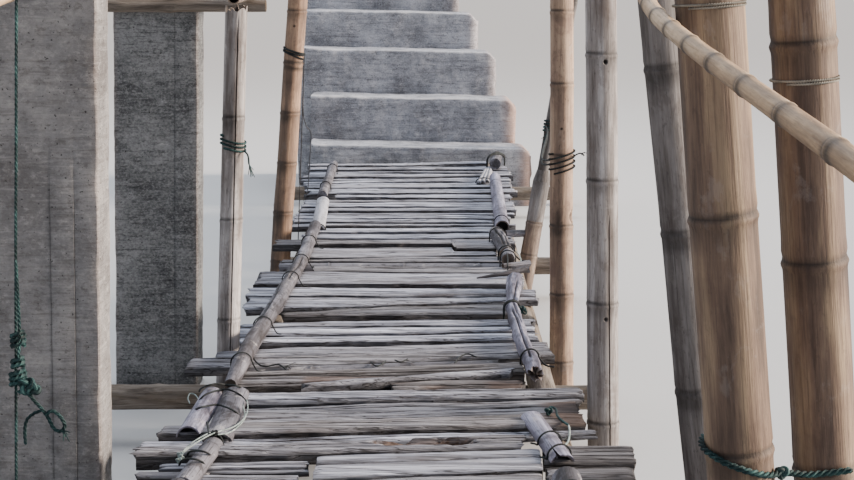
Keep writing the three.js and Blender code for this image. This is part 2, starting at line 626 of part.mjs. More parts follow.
function pointAtY(path, y) {
  const after = path.findIndex((point) => point[1] >= y);
  const [a, b] = [path[after - 1], path[after]];
  const t = (y - a[1]) / (b[1] - a[1]);
  return a.map((value, axis) => THREE.MathUtils.lerp(value, b[axis], t));
}

function ropeSide(name, mainRuns, extras, hangers) {
  const parts = [...mainRuns.map((run) => ropeRun(run)), ...extras];
  for (const { transom, x } of hangers) {
    const top = pointAtY(mainRuns.flat(), transom.y);
    const foot = [x, transom.y, TRANSOM_AXIS + TRANSOM_DIAMETER / 2 + ROPE.hanger / 2];
    parts.push(ropeRun([foot, top], ROPE.hanger / 2), poleLoop(transom, x));
  }
  addPiece(name, toGeometry(parts.reduce((sum, next) => sum.add(next))), MATERIALS.rope);
}

const endLeft = POSTS.mast_left_end;
const endRight = POSTS.mast_right_end;
const nearLeftTop = loopSide(NEAR_MAST, LOOP_LEVEL.near, 1);
const endLeftTop = loopSide(endLeft, LOOP_LEVEL.end, -1);
const nearPillar = PILLAR_FRONTS.pillar_near;
const farPillar = PILLAR_FRONTS.pillar_far;
const SADDLE_REACH = 30;
const saddle = (front) => [
  [saddleX, front - SADDLE_REACH, saddleZ],
  [saddleX, front + PILLAR.depth + SADDLE_REACH, saddleZ],
];
const STAY_FOOT = { x: 690, y: 800, z: DECK_TOP + ropeRadius };
const STAY_END = { left: -770, right: 230, y: 10560 };
const stayEnd = (x) => [x, STAY_END.y, stepTopZ(x)];
const beforeSaddle = (front) => [saddleX, front - SADDLE_REACH / 2, saddleZ];
const afterSaddle = (front) => [saddleX, front + PILLAR.depth + SADDLE_REACH / 2, saddleZ];
const leftMain = [
  [...saggingRun(nearLeftTop, beforeSaddle(nearPillar), 40, 4), beforeSaddle(nearPillar)],
  saddle(nearPillar),
  [...saggingRun(afterSaddle(nearPillar), beforeSaddle(farPillar), 30, 3), beforeSaddle(farPillar)],
  saddle(farPillar),
  [...saggingRun(afterSaddle(farPillar), endLeftTop, 110, 7), endLeftTop],
];
ropeSide("rope_left", leftMain, [
  postLoop([NEAR_MAST], LOOP_LEVEL.near),
  postLoop([endLeft], LOOP_LEVEL.end),
  ropeRun([[-STAY_FOOT.x, STAY_FOOT.y, STAY_FOOT.z], loopSide(NEAR_MAST, LOOP_LEVEL.near, -1)]),
  ropeRun([loopSide(endLeft, LOOP_LEVEL.end, 1), stayEnd(STAY_END.left)]),
], [
  { transom: TRANSOMS[1], x: -885 },
  { transom: TRANSOMS[4], x: -775 },
]);

const twinA = POSTS.post_right_1;
const twinB = POSTS.post_right_2;

// The short link between the loops of the two near right posts
function twinLink(z) {
  const from = new THREE.Vector3(postAxisX(twinA, z), twinA.y, z);
  const to = new THREE.Vector3(postAxisX(twinB, z), twinB.y, z);
  const apart = to.clone().sub(from).normalize();
  const reach = (size) => postRadius(size, z) + ROPE.loopWall / 2;
  from.addScaledVector(apart, reach(twinA));
  to.addScaledVector(apart, -reach(twinB));
  return ropeRun([from.toArray(), to.toArray()], 0.6 * ropeRadius);
}

const endRightTop = loopSide(endRight, LOOP_LEVEL.end, -1);
const rightMain = [[...saggingRun(loopSide(twinA, LOOP_LEVEL.near, 1), endRightTop, 420, 12), endRightTop]];
ropeSide("rope_right", rightMain, [
  postLoop([twinA, twinB], LOOP_LEVEL.near),
  twinLink(LOOP_LEVEL.near),
  postLoop([endRight], LOOP_LEVEL.end),
  ropeRun([[STAY_FOOT.x, STAY_FOOT.y, STAY_FOOT.z], loopSide(twinB, LOOP_LEVEL.near, -1)]),
  ropeRun([loopSide(endRight, LOOP_LEVEL.end, 1), stayEnd(STAY_END.right)]),
], [
  { transom: TRANSOMS[1], x: 835 },
  { transom: TRANSOMS[2], x: 660 },
  { transom: TRANSOMS[3], x: 709 },
  { transom: TRANSOMS[4], x: 880 },
]);

// Thin wires from a lashing on the far left post down to the walkway
const WIRE = { diameter: 4, sides: 5, ringZ: 1120, ringHeight: 26, ringWall: 4, footX: -506 };
const wireStart = [
  postAxisX(FAR_POST, WIRE.ringZ) + postRadius(FAR_POST, WIRE.ringZ) + WIRE.ringWall,
  FAR_POST.y,
  WIRE.ringZ,
];
const wireFoot = [WIRE.footX, TRANSOMS[3].y, TRANSOM_AXIS + TRANSOM_DIAMETER / 2 + WIRE.diameter / 4];
const wireRun = (points) => toSolid(sweptBar(points, WIRE.diameter / 2, 2 * points.length, WIRE.sides));
const ringBlank = (wall, height) => {
  const radius = postRadius(FAR_POST, WIRE.ringZ) + wall;
  const blank = new THREE.CylinderGeometry(radius, radius, height, POLE_SIDES).rotateX(Math.PI / 2);
  return toSolid(leaned(blank, FAR_POST.slope, 0)
    .translate(postAxisX(FAR_POST, WIRE.ringZ), FAR_POST.y, WIRE.ringZ));
};
addPiece("post_left_far_wires", toGeometry([
  ringBlank(WIRE.ringWall, WIRE.ringHeight).subtract(ringBlank(LOOP_CLEARANCE, 2 * WIRE.ringHeight)),
  wireRun([wireStart, wireFoot]),
  wireRun([
    wireStart, [-468, 6720, 870], [-462, 6800, 785], [-449, 6900, 735], [-471, 7100, 608],
    [-510, 7400, 392], [-535, 7530, 335], [-548, 7600, DECK_TOP + 3],
  ]),
].reduce((sum, next) => sum.add(next))), MATERIALS.wire);

// The origin is the middle of the footprint at ground level
const footprint = new THREE.Box3().setFromObject(bridge).getCenter(new THREE.Vector3());
bridge.position.set(-footprint.x, -footprint.y, 0);
bridge.updateMatrixWorld(true);

export default bridge;
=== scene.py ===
"""Rustic rope footbridge: planks, canes, concrete, ropes and ties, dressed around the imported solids."""

import itertools
import math
import random

import bpy
import mathutils
import numpy as np
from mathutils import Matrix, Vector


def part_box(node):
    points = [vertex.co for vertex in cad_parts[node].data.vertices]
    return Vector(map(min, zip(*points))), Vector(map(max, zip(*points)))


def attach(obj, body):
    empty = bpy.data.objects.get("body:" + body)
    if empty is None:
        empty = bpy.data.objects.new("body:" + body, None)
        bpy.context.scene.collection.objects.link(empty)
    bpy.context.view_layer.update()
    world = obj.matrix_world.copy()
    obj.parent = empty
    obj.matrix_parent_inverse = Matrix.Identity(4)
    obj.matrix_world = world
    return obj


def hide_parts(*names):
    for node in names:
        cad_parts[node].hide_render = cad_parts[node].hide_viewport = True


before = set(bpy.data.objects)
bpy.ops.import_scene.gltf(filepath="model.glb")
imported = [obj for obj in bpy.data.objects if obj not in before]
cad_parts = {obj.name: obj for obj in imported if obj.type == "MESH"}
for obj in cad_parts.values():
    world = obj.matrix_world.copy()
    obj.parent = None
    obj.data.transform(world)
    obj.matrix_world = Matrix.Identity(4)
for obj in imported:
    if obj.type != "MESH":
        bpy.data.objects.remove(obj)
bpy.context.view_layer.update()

# Layout: x is across from the centre line, y runs from the eye point along the walkway,
# z is up from the ground, all in metres. The sill's box gives the step to the row's own frame.
SILL_FRONT = 0.620
sill_low, sill_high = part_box("near_sill")
SHIFT = np.array([(sill_low.x + sill_high.x) / 2, sill_low.y - SILL_FRONT, 0.0])

DECK_TOP = 0.300
PLANK_BASE = 0.268
STRINGER_RADIUS = 0.0425
STRINGER_AXIS = 0.2275
STRINGER_X = (-0.455, 0.0, 0.455)
TRANSOM_RADIUS = 0.0425
TRANSOM_AXIS = 0.1422
DECK_START = 0.950
DECK_END = 9.2397
UP = (0, 0, 1)
AWAY = (0, 1, 0)
ASIDE = (1, 0, 0)

# The eye: its place, its tilt, and how many picture points one metre spans at one metre
EYE_X = 0.115
EYE_HEIGHT = 1.259
PITCH = 10.87
YAW = 0.225
LENS = 63.2
POINTS_PER_METRE = 1500
PICTURE_MIDDLE = (433, 240)


def seen(across, down, z):
    """The place at height z that shows at a point of the 854 by 480 picture."""
    cosine, sine = math.cos(math.radians(PITCH)), math.sin(math.radians(PITCH))
    below = DECK_TOP + EYE_HEIGHT - z
    v = (down - PICTURE_MIDDLE[1]) / POINTS_PER_METRE
    y = below * (cosine - v * sine) / (sine + v * cosine)
    depth = y * cosine + below * sine
    return (EYE_X + (across - PICTURE_MIDDLE[0]) * depth / POINTS_PER_METRE, y, z)


# Repeatable noise

def lattice(ix, iy, iz, seed):
    n = ix * 374761393 + iy * 668265263 + iz * 1274126177 + seed * 2246822519
    n = (n ^ (n >> 13)) * 1274126177
    return ((n ^ (n >> 16)) & 0xFFFF) / 65535.0


def noise(x, y, z=0.0, seed=0):
    """Smooth noise from -1 to 1 at each point."""
    x, y, z = np.broadcast_arrays(*[np.asarray(c, float) for c in (x, y, z)])
    cells = [np.floor(c) for c in (x, y, z)]
    parts = [c - cell for c, cell in zip((x, y, z), cells)]
    parts = [p * p * (3 - 2 * p) for p in parts]
    cells = [cell.astype(np.int64) for cell in cells]
    total = np.zeros(x.shape)
    for corner in itertools.product((0, 1), repeat=3):
        weight = np.ones(x.shape)
        for side, part in zip(corner, parts):
            weight = weight * (part if side else 1 - part)
        total += weight * lattice(*[cell + side for cell, side in zip(cells, corner)], seed)
    return 2 * total - 1


def bell(distance, width):
    return np.exp(-(np.asarray(distance, float) / width) ** 2)


def ease(low, high, value):
    t = np.clip((np.asarray(value, float) - low) / (high - low), 0, 1)
    return t * t * (3 - 2 * t)


def round_from(angle, place):
    """The turn from one angle to another, between -pi and pi."""
    return np.mod(angle - place + math.pi, 2 * math.pi) - math.pi


def merged(*groups):
    """All the values in order, without near repeats."""
    values = np.sort(np.concatenate([np.atleast_1d(np.asarray(g, float)) for g in groups]))
    keep = np.concatenate([[True], np.diff(values) > 4e-4])
    return values[keep]


# Lines that shapes are swept along

def smooth_line(points, step):
    pts = np.array(points, float)
    if len(pts) == 2:
        count = max(2, int(np.linalg.norm(pts[1] - pts[0]) / step) + 1)
        return pts[0] + (pts[1] - pts[0]) * np.linspace(0, 1, count)[:, None]
    ends = np.vstack([2 * pts[0] - pts[1], pts, 2 * pts[-1] - pts[-2]])
    line = []
    for a, b, c, d in zip(ends, ends[1:], ends[2:], ends[3:]):
        count = max(2, int(np.linalg.norm(c - b) / step) + 1)
        t = np.linspace(0, 1, count, endpoint=False)[:, None]
        line.append(0.5 * (2 * b + (c - a) * t + (2 * a - 5 * b + 4 * c - d) * t ** 2
                           + (3 * b - 3 * c + d - a) * t ** 3))
    return np.vstack(line + [pts[-1:]])


class Path:
    """A smooth line through a few points, with a side and an upper direction all along it."""

    def __init__(self, points, up=UP, step=0.02):
        self.points = smooth_line(points, step)
        gaps = np.linalg.norm(np.diff(self.points, axis=0), axis=1)
        self.s = np.concatenate([[0], np.cumsum(gaps)])
        self.length = self.s[-1]
        self.tangent = np.gradient(self.points, self.s, axis=0)
        self.tangent /= np.linalg.norm(self.tangent, axis=1)[:, None]
        self.upper = np.empty_like(self.tangent)
        current = np.array(up, float)
        for i, ahead in enumerate(self.tangent):
            current = current - ahead * np.dot(current, ahead)
            current /= np.linalg.norm(current)
            self.upper[i] = current
        self.side = np.cross(self.tangent, self.upper)

    def pick(self, field, s):
        return np.stack([np.interp(s, self.s, field[:, k]) for k in range(3)], axis=-1)

    def at(self, s):
        inside = np.clip(s, 0, self.length)
        centre = self.pick(self.points, inside) + (s - inside)[..., None] * self.pick(self.tangent, inside)
        return centre, self.pick(self.side, inside), self.pick(self.upper, inside)


# Edges that turn by more than this are shaded sharp
CREASE = math.radians(40)


class Piece:
    """One object in the making: its points, faces, and the grain and marks that materials read."""

    def __init__(self, name, *materials):
        self.name = name
        self.materials = materials
        self.points, self.grain, self.marks = [], [], []
        self.faces, self.face_material = [], []
        self.count = 0

    def add(self, points, faces, grain, marks, material=0):
        self.points.append(points)
        self.grain.append(grain)
        self.marks.append(marks)
        self.faces.extend([i + self.count for i in face] for face in faces)
        self.face_material.extend([material] * len(faces))
        self.count += len(points)

    def build(self, slot, *nodes):
        mesh = bpy.data.meshes.new(self.name)
        points = np.vstack(self.points) + SHIFT
        mesh.from_pydata(points.tolist(), [], self.faces)
        for material in self.materials:
            mesh.materials.append(material)
        mesh.polygons.foreach_set("material_index", self.face_material)
        mesh.polygons.foreach_set("use_smooth", [True] * len(self.faces))
        grain = mesh.attributes.new("grain", "FLOAT_VECTOR", "POINT")
        grain.data.foreach_set("vector", np.vstack(self.grain).ravel())
        marks = mesh.attributes.new("marks", "FLOAT_COLOR", "POINT")
        marks.data.foreach_set("color", np.vstack(self.marks).ravel())
        mesh.update()
        mesh.set_sharp_from_angle(angle=CREASE)
        made = bpy.data.objects.new(self.name, mesh)
        bpy.context.scene.collection.objects.link(made)
        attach(made, "root")
        if nodes:
            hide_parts(*nodes)


def paint(shape, tone=0.5, dark=0.0, inner=0.0):
    """The marks of a group of points: tone, darkness and how much inner wood shows."""
    marks = [np.broadcast_to(value, shape) for value in (tone, dark, inner, 1.0)]
    return np.clip(np.stack(marks, axis=-1), 0, 1)


def sweep(piece, path, s, u, v, seed=0, marks=None, material=0):
    """A closed skin through sections (u to the side, v up) set along a path at s."""
    s, u, v = np.broadcast_arrays(*[np.asarray(c, float) for c in (s, u, v)])
    rings, around = s.shape
    centre, side, upper = path.at(s)
    points = centre + u[..., None] * side + v[..., None] * upper
    offset = np.array([3.1, 5.7, 7.3]) * (seed % 97)
    grain = np.stack([u, v, s], axis=-1) + offset
    if marks is None:
        marks = paint((rings, around))
    ring, j = np.meshgrid(np.arange(rings - 1), np.arange(around), indexing="ij")
    here, after = ring * around + j, ring * around + (j + 1) % around
    quads = np.stack([here, here + around, after + around, after], axis=-1).reshape(-1, 4).tolist()
    last = (rings - 1) * around
    caps = [list(range(around)), list(range(last + around - 1, last - 1, -1))]
    piece.add(points.reshape(-1, 3), quads + caps, grain.reshape(-1, 3), marks.reshape(-1, 4), material)


# Materials

def srgb(*colour):
    linear = [c / 255 / 12.92 if c <= 10 else ((c / 255 + 0.055) / 1.055) ** 2.4 for c in colour]
    return (*linear, 1)


# The two colour sockets of a mix of colours
COLOUR_INPUTS = (6, 7)


class Look:
    """A material in the making. It reads a piece's grain and marks, and its colour is laid on in layers."""

    def __init__(self, name):
        self.material = bpy.data.materials.new(name)
        self.material.use_nodes = True
        self.tree = self.material.node_tree
        self.tree.nodes.clear()
        self.grain = self.node("ShaderNodeAttribute", attribute_name="grain").outputs["Vector"]
        marks = self.node("ShaderNodeAttribute", attribute_name="marks").outputs["Color"]
        split = self.node("ShaderNodeSeparateColor", {"Color": marks})
        self.tone, self.dark, self.inner = [split.outputs[name] for name in ("Red", "Green", "Blue")]
        self.colour = None

    def node(self, kind, inputs=None, **settings):
        made = self.tree.nodes.new(kind)
        for key, value in settings.items():
            setattr(made, key, value)
        for key, value in (inputs or {}).items():
            if isinstance(value, bpy.types.NodeSocket):
                self.tree.links.new(value, made.inputs[key])
            elif isinstance(value, tuple) and key in COLOUR_INPUTS:
                made.inputs[key].default_value = srgb(*value)
            else:
                made.inputs[key].default_value = value
        return made

    def noise(self, scale, detail, roughness, warp=0.0, place=None):
        """Noise over the grain, or another place, stretched by a scale for each axis."""
        place = self.grain if place is None else place
        mapped = self.node("ShaderNodeVectorMath", {0: place, 1: scale}, operation="MULTIPLY")
        return self.node("ShaderNodeTexNoise", {
            "Vector": mapped.outputs[0], "Scale": 1.0,
            "Detail": detail, "Roughness": roughness, "Distortion": warp,
        }).outputs["Fac"]

    def ramp(self, value, *stops):
        made = self.node("ShaderNodeValToRGB", {"Fac": value})
        elements = made.color_ramp.elements
        while len(elements) < len(stops):
            elements.new(0.5)
        for element, (place, colour) in zip(elements, stops):
            element.position = place
            element.color = srgb(*colour)
        return made.outputs["Color"]

    def sums(self, a, b, operation="MULTIPLY"):
        return self.node("ShaderNodeMath", {0: a, 1: b}, operation=operation).outputs[0]

    def band(self, value, low, high):
        """0 below low, 1 above high, smooth between. With low above high it falls instead."""
        return self.node("ShaderNodeMapRange", {"Value": value, "From Min": low, "From Max": high},
                         interpolation_type="SMOOTHSTEP").outputs["Result"]

    def spread(self, value, low, high):
        made = self.node("ShaderNodeMapRange", {"Value": value, "To Min": low, "To Max": high})
        return made.outputs["Result"]

    def mixed(self, factor, a, b):
        return self.node("ShaderNodeMix", {"Factor": factor, 6: a, 7: b}, data_type="RGBA").outputs[2]

    def lay(self, mask, amount, colour):
        """Covers the colour so far with another, where the mask says."""
        self.colour = self.mixed(self.sums(mask, amount), self.colour, colour)

    def lay_band(self, value, low, high, amount, colour):
        self.lay(self.band(value, low, high), amount, colour)

    def lay_lines(self, value, width, amount, colour):
        """Thin lines where a noise crosses its middle."""
        off = self.sums(value, 0.5, "SUBTRACT")
        away = self.node("ShaderNodeMath", {0: off}, operation="ABSOLUTE").outputs[0]
        self.lay_band(away, width, 0.2 * width, amount, colour)

    def finish(self, roughness, specular, *heights):
        """The shader, with a normal from several heights, each with its depth in metres."""
        normal = None
        for height, depth in heights:
            inputs = {"Height": height, "Distance": depth, "Strength": 1.0}
            if normal is not None:
                inputs["Normal"] = normal
            normal = self.node("ShaderNodeBump", inputs).outputs["Normal"]
        shader = self.node("ShaderNodeBsdfPrincipled", {
            "Base Color": self.colour, "Roughness": roughness, "Normal": normal,
            "Specular IOR Level": specular,
        })
        self.node("ShaderNodeOutputMaterial", {"Surface": shader.outputs["BSDF"]})
        return self.material


def plank_material():
    """Old bare boards: long pale and brown streaks, open fibres, dark checks and stains."""
    look = Look("weathered_plank")
    bands = look.noise((36, 36, 1.5), 6, 0.68)
    fibres = look.noise((210, 210, 6), 5, 0.7)
    veins = look.noise((52, 52, 1.2), 3, 0.55, 0.1)
    patches = look.noise((10, 10, 3.0), 5, 0.65)
    spots = look.noise((80, 80, 40), 3, 0.6)
    warm = look.ramp(bands, (0.33, (56, 52, 51)), (0.42, (96, 92, 92)), (0.56, (124, 120, 121)),
                     (0.70, (166, 163, 166)))
    cool = look.ramp(bands, (0.34, (70, 70, 78)), (0.43, (134, 137, 149)), (0.53, (184, 188, 203)),
                     (0.66, (230, 233, 246)))
    look.colour = look.mixed(look.tone, warm, cool)
    look.lay_band(fibres, 0.52, 0.66, 0.50, (212, 209, 210))
    look.lay_band(fibres, 0.47, 0.36, 0.7, (60, 53, 50))
    look.lay_band(patches, 0.52, 0.68, 0.45, (88, 78, 71))
    look.lay_lines(veins, 0.028, 0.85, (30, 26, 25))
    look.lay_band(spots, 0.66, 0.72, 0.6, (52, 46, 43))
    decay = look.ramp(fibres, (0.36, (48, 36, 31)), (0.5, (90, 72, 63)), (0.64, (132, 112, 101)))
    look.colour = look.mixed(look.inner, look.colour, decay)
    look.lay(look.dark, 0.92, (24, 20, 19))
    rough = look.spread(fibres, 0.68, 0.92)
    return look.finish(rough, 0.3, (bands, 0.0035), (veins, 0.003), (fibres, 0.0026))


def cane_material(name, pale, middle, deep, stain, blotches, gloss):
    """Bamboo: long fibres, weather streaks, blotches, and darker rings at the joints."""
    look = Look(name)
    fibres = look.noise((300, 300, 6), 4, 0.65)
    streaks = look.noise((26, 26, 2.4), 6, 0.68, 0.1)
    patches = look.noise((14, 14, 10), 6, 0.72, 0.4)
    specks = look.noise((130, 130, 60), 3, 0.6)
    veins = look.noise((70, 70, 1.8), 3, 0.55)
    look.colour = look.ramp(streaks, (0.36, deep), (0.50, middle), (0.64, pale))
    look.lay(look.tone, 0.8, pale)
    look.lay_band(fibres, 0.47, 0.36, 0.45, deep)
    look.lay_band(patches, 0.50, 0.62, blotches, stain)
    look.lay_band(patches, 0.42, 0.34, 0.6 * blotches, (206, 200, 196))
    look.lay_lines(veins, 0.012, blotches, (48, 41, 38))
    look.lay_band(specks, 0.62, 0.68, 0.9 * blotches, (46, 40, 37))
    look.colour = look.mixed(look.inner, look.colour, (128, 112, 96))
    look.lay(look.dark, 0.88, (28, 23, 21))
    rough = look.spread(patches, 0.75 - 0.4 * gloss, 0.95 - 0.3 * gloss)
    return look.finish(rough, 0.35, (streaks, 0.0022), (veins, 0.0008), (fibres, 0.0008))


def log_material():
    """Rough poles with bark left on."""
    look = Look("rough_log")
    ridges = look.noise((60, 60, 6), 6, 0.7, 0.6)
    patches = look.noise((14, 14, 5), 4, 0.6)
    look.colour = look.ramp(ridges, (0.30, (66, 58, 52)), (0.50, (120, 110, 100)), (0.72, (160, 150, 139)))
    look.lay_band(patches, 0.50, 0.72, 0.5, (120, 104, 84))
    look.colour = look.mixed(look.inner, look.colour, (128, 108, 84))
    look.lay(look.dark, 0.85, (32, 27, 24))
    return look.finish(0.92, 0.25, (ridges, 0.004))


def concrete_material(name, lines, ground, pale, deep, lichen, grit=0.4):
    """Cast concrete; lines is the stretch of the marks that its boards left, grit how coarse it is."""
    look = Look(name)
    place = look.node("ShaderNodeTexCoord").outputs["Object"]
    board, clouds, mottle, grains, pits, scuffs = [look.noise(*values, place=place) for values in (
        (lines, 5, 0.7), ((4.5, 4.5, 4.5), 6, 0.65), ((30, 30, 44), 6, 0.75), ((130, 130, 170), 4, 0.7),
        ((110, 110, 110), 2, 0.5), ((10, 14, 26), 6, 0.75, 0.5))]
    look.colour = look.mixed(0.45, look.ramp(clouds, (0.36, deep), (0.50, ground), (0.66, pale)), ground)
    look.lay_band(mottle, 0.52, 0.66, 0.5, pale)
    look.lay_band(mottle, 0.46, 0.35, 0.6, deep)
    look.lay_band(board, 0.47, 0.36, 0.35 + grit / 2, deep)
    look.lay_band(board, 0.55, 0.66, 0.35, pale)
    look.lay_band(grains, 0.50, 0.62, grit, pale)
    look.lay_band(grains, 0.48, 0.38, grit, deep)
    look.lay_band(scuffs, 0.60, 0.72, lichen, (206, 205, 204))
    look.lay_band(pits, 0.33, 0.28, 0.8, (38, 36, 35))
    look.lay_band(look.tone, 0.52, 0.95, 0.8, (202, 200, 201))
    look.colour = look.mixed(look.inner, look.colour, (176, 142, 124))
    look.lay(look.dark, 0.88, (30, 28, 27))
    return look.finish(0.93, 0.2, (board, 0.004), (mottle, 0.004), (grains, 0.0015))


def cord_material(name, deep, middle, pale, pitch=0.012):
    """Laid cord: slanting strands with bright and dark fibres."""
    look = Look(name)
    strands = look.noise((500, 500, 260), 3, 0.5)
    fibres = look.noise((90, 90, 18), 4, 0.6)
    twist = look.node("ShaderNodeTexWave", {
        "Vector": look.grain, "Scale": 1 / pitch / 6.28, "Distortion": 2.0, "Detail": 1.0,
    }, wave_type="BANDS", bands_direction="DIAGONAL").outputs["Fac"]
    look.colour = look.ramp(fibres, (0.30, deep), (0.50, middle), (0.74, pale))
    look.lay_band(strands, 0.55, 0.75, 0.5, pale)
    # Painted shade in the hollows between the slanting strands
    look.lay_band(twist, 0.35, 0.05, 0.5, deep)
    return look.finish(0.72, 0.35, (twist, 0.0012), (strands, 0.0006))


# Canes: their pale, middle, deep and stain colours, how blotched and how glossy they are
CANES = {
    "kerb_cane": ((136, 135, 143), (86, 84, 90), (41, 38, 40), (42, 37, 37), 0.75, 0.35),
    "kerb_pale_cane": ((192, 192, 200), (161, 161, 168), (111, 109, 111), (96, 91, 89), 0.35, 0.35),
    "kerb_half_cane": ((176, 175, 194), (120, 117, 133), (60, 56, 66), (50, 44, 50), 0.5, 0.8),
    "grey_cane": ((216, 211, 209), (168, 161, 157), (112, 103, 98), (106, 90, 82), 0.35, 0.45),
    "red_cane": ((224, 194, 166), (184, 154, 130), (120, 99, 87), (132, 102, 92), 0.40, 0.5),
    "gold_cane": ((232, 192, 158), (192, 157, 130), (124, 103, 90), (108, 86, 74), 0.30, 0.5),
    "brown_cane": ((176, 152, 124), (134, 111, 94), (86, 70, 62), (84, 66, 59), 0.20, 0.5),
    "tan_cane": ((188, 168, 149), (144, 126, 113), (94, 81, 75), (98, 83, 75), 0.35, 0.5),
    "rail_cane": ((242, 215, 180), (208, 175, 137), (144, 116, 88), (108, 85, 69), 0.15, 0.7),
}
# Cords: their deep, middle and pale colours, and for laid ones the pitch of their strands
CORDS = {
    "green_rope": ((10, 22, 23), (26, 54, 55), (80, 122, 118), 0.03),
    "dark_cord": ((8, 10, 11), (22, 27, 28), (56, 64, 63)),
    "pale_cord": ((88, 106, 102), (148, 160, 156), (206, 214, 208)),
    "twine": ((96, 92, 84), (144, 138, 126), (182, 176, 164)),
    "tie_wire": ((24, 24, 25), (52, 52, 54), (92, 90, 88), 0.02),
}
PLANK = plank_material()
LOG = log_material()
KERB, PALE_CANE, HALF_CANE, GREY_CANE, RED_CANE, GOLD_CANE, BROWN_CANE, TAN_CANE, RAIL_CANE = [
    cane_material(name, *values) for name, values in CANES.items()]
PILLAR_STONE = concrete_material("pillar_concrete", (7, 7, 95), (134, 132, 131), (182, 178, 174),
                                 (100, 95, 92), 0.2, 0.15)
FAR_PILLAR_STONE = concrete_material("pillar_far_concrete", (9, 9, 120), (115, 116, 116), (164, 164, 163),
                                     (52, 53, 55), 0.45, 0.40)
STEP_STONE = concrete_material("step_concrete", (3.5, 20, 62), (155, 157, 163), (204, 205, 211),
                               (85, 85, 90), 0.65, 0.25)
SILL_STONE = concrete_material("sill_concrete", (4, 4, 40), (140, 136, 132), (170, 166, 162), (92, 89, 86),
                               0.3)
GREEN_ROPE, DARK_CORD, PALE_CORD, TWINE, WIRE = [
    cord_material(name, *values) for name, values in CORDS.items()]


# Boards that lie across the walkway

def board(piece, seed, left, right, near, far, base, top, tone, relief, fray, checks, step, edge, tilt,
          grime, dip=None, inner_at=None):
    """A rough board along x. near, far and top are functions of x; dip(x, y) lowers its top."""
    rng = random.Random(seed)
    middle = (left + right) / 2
    width = float(far(np.array(middle)) - near(np.array(middle)))
    rim_width = min(0.012, 0.3 * width)
    cuts = [(rng.uniform(0.15, 0.9), rng.uniform(0.004, 0.010), rng.uniform(-1, 1), rng.uniform(0.3, 1.3),
             rng.uniform(0.0016, 0.0036) / max(width, 0.02)) for _ in range(checks)]
    columns = merged(np.linspace(0, 1, max(5, int(width / step) + 1)),
                     [0.4 * rim_width / width, rim_width / width],
                     *[[c - slit, c, c + slit] for c, _, _, _, slit in cuts])
    t = within(columns, 1)[None, :]
    along = np.linspace(0, 1, max(8, int((right - left) / (1.2 * step))))[:, None]
    jag_left, jag_right = [
        fray * (0.5 + 0.5 * noise(t * 5, seed, k + 1.5, seed))
        + 0.5 * fray * noise(t * 23, seed, k + 2.5, seed) for k in (0, 2)]
    x = (left + jag_left) + along * (right - jag_right - left - jag_left)
    rag = min(0.0045, 0.06 * width) * min(relief, 1)
    ragged_near, ragged_far = [
        rag * noise(x * 5, k, seed, seed) + 0.6 * rag * noise(x * 27, k + 1, seed, seed) for k in (1, 5)]
    y_near = near(x) + 0.5 * rag + ragged_near
    y_far = far(x) - 0.5 * rag + ragged_far
    y = y_near + (t + 0.05 * noise(x * 1.8, seed, 11.0, seed) * np.sin(math.pi * t)) * (y_far - y_near)
    ridges = 0.0024 * noise(x * 1.6, y * 28, seed, seed) + 0.0018 * noise(x * 3.5, y * 75, 3.0, seed)
    ridges = ridges + 0.0008 * noise(x * 14, y * 160, 4.0, seed)
    near_rim, far_rim, ends = t * width, (1 - t) * width, np.minimum(x - left, right - x)
    z = top(x) + relief * ridges + tilt * (t - 0.5) * width
    z = z - edge * (1 - ease(0, rim_width, near_rim)) - 0.4 * edge * (1 - ease(0, 0.007, far_rim))
    z = z - 0.005 * bell(ends, 0.012) * (0.5 + 0.5 * noise(t * 9, x * 3, 9.0, seed))
    # The rims and ends are darkened, the near rim most: partly weathering, partly painted shade on edges
    # that turn from the light
    dark = 0.75 * bell(near_rim, 0.4 * rim_width) + 0.35 * bell(far_rim, 0.004) + 0.3 * bell(ends, 0.012)
    # Painted shade in the low parts of the ridges, plus the darkness that the caller gives
    dark = dark + 0.35 * min(relief, 1) * np.clip(-ridges / 0.003, 0, 1) + grime(x)
    for place, depth, drift, reach, slit in cuts:
        window = ease(0.0, 0.16, reach / 2 - np.abs((x - middle) - drift * 0.3 * (right - left)))
        slot = bell((t - place) / slit, 0.75) * window
        z = z - depth * slot
        # Painted shade down in the check
        dark = dark + 1.3 * slot
    inner = np.zeros_like(z)
    if dip is not None:
        sunk = dip(x, y)
        z = z - sunk
        inner = ease(0.001, 0.006, sunk)
    if inner_at is not None:
        inner = np.maximum(inner, inner_at(x, y))
    rows = len(z)
    rough = [0.004 * noise(x[:, :1] * 18, k, seed, seed) for k in (1, 2, 3)]
    low = np.full((rows, 1), base)
    near_z = [low, base + 0.4 * (z[:, :1] - base), z[:, :1] - 0.0005]
    far_z = [z[:, -1:] - 0.0005, base + 0.4 * (z[:, -1:] - base), low]
    all_x = np.hstack([x[:, :1]] * 3 + [x] + [x[:, -1:]] * 3)
    all_y = np.hstack([y[:, :1] - 0.001 + r for r in rough] + [y] + [y[:, -1:] + 0.001 - r for r in rough])
    all_z = np.hstack(near_z + [z] + far_z)
    # Painted shade on the board's sides, which show in the gaps between boards
    side_shade = np.hstack([np.full((rows, 1), d) for d in (0.95, 0.85, 0.75)])
    all_dark = np.hstack([side_shade, dark, side_shade[:, ::-1]])
    all_inner = np.hstack([np.zeros((rows, 3)), inner, np.zeros((rows, 3))])
    shade = tone + 0.22 * noise(all_x * 2.5, all_y * 16, 7.0, seed)
    centre = (near(np.array(middle)) + far(np.array(middle))) / 2
    path = Path([(left, centre, 0), (right, centre, 0)], step=0.2)
    sweep(piece, path, all_x - left, centre - all_y, all_z, seed,
          paint(all_z.shape, shade, all_dark, all_inner))


# Round and split stems

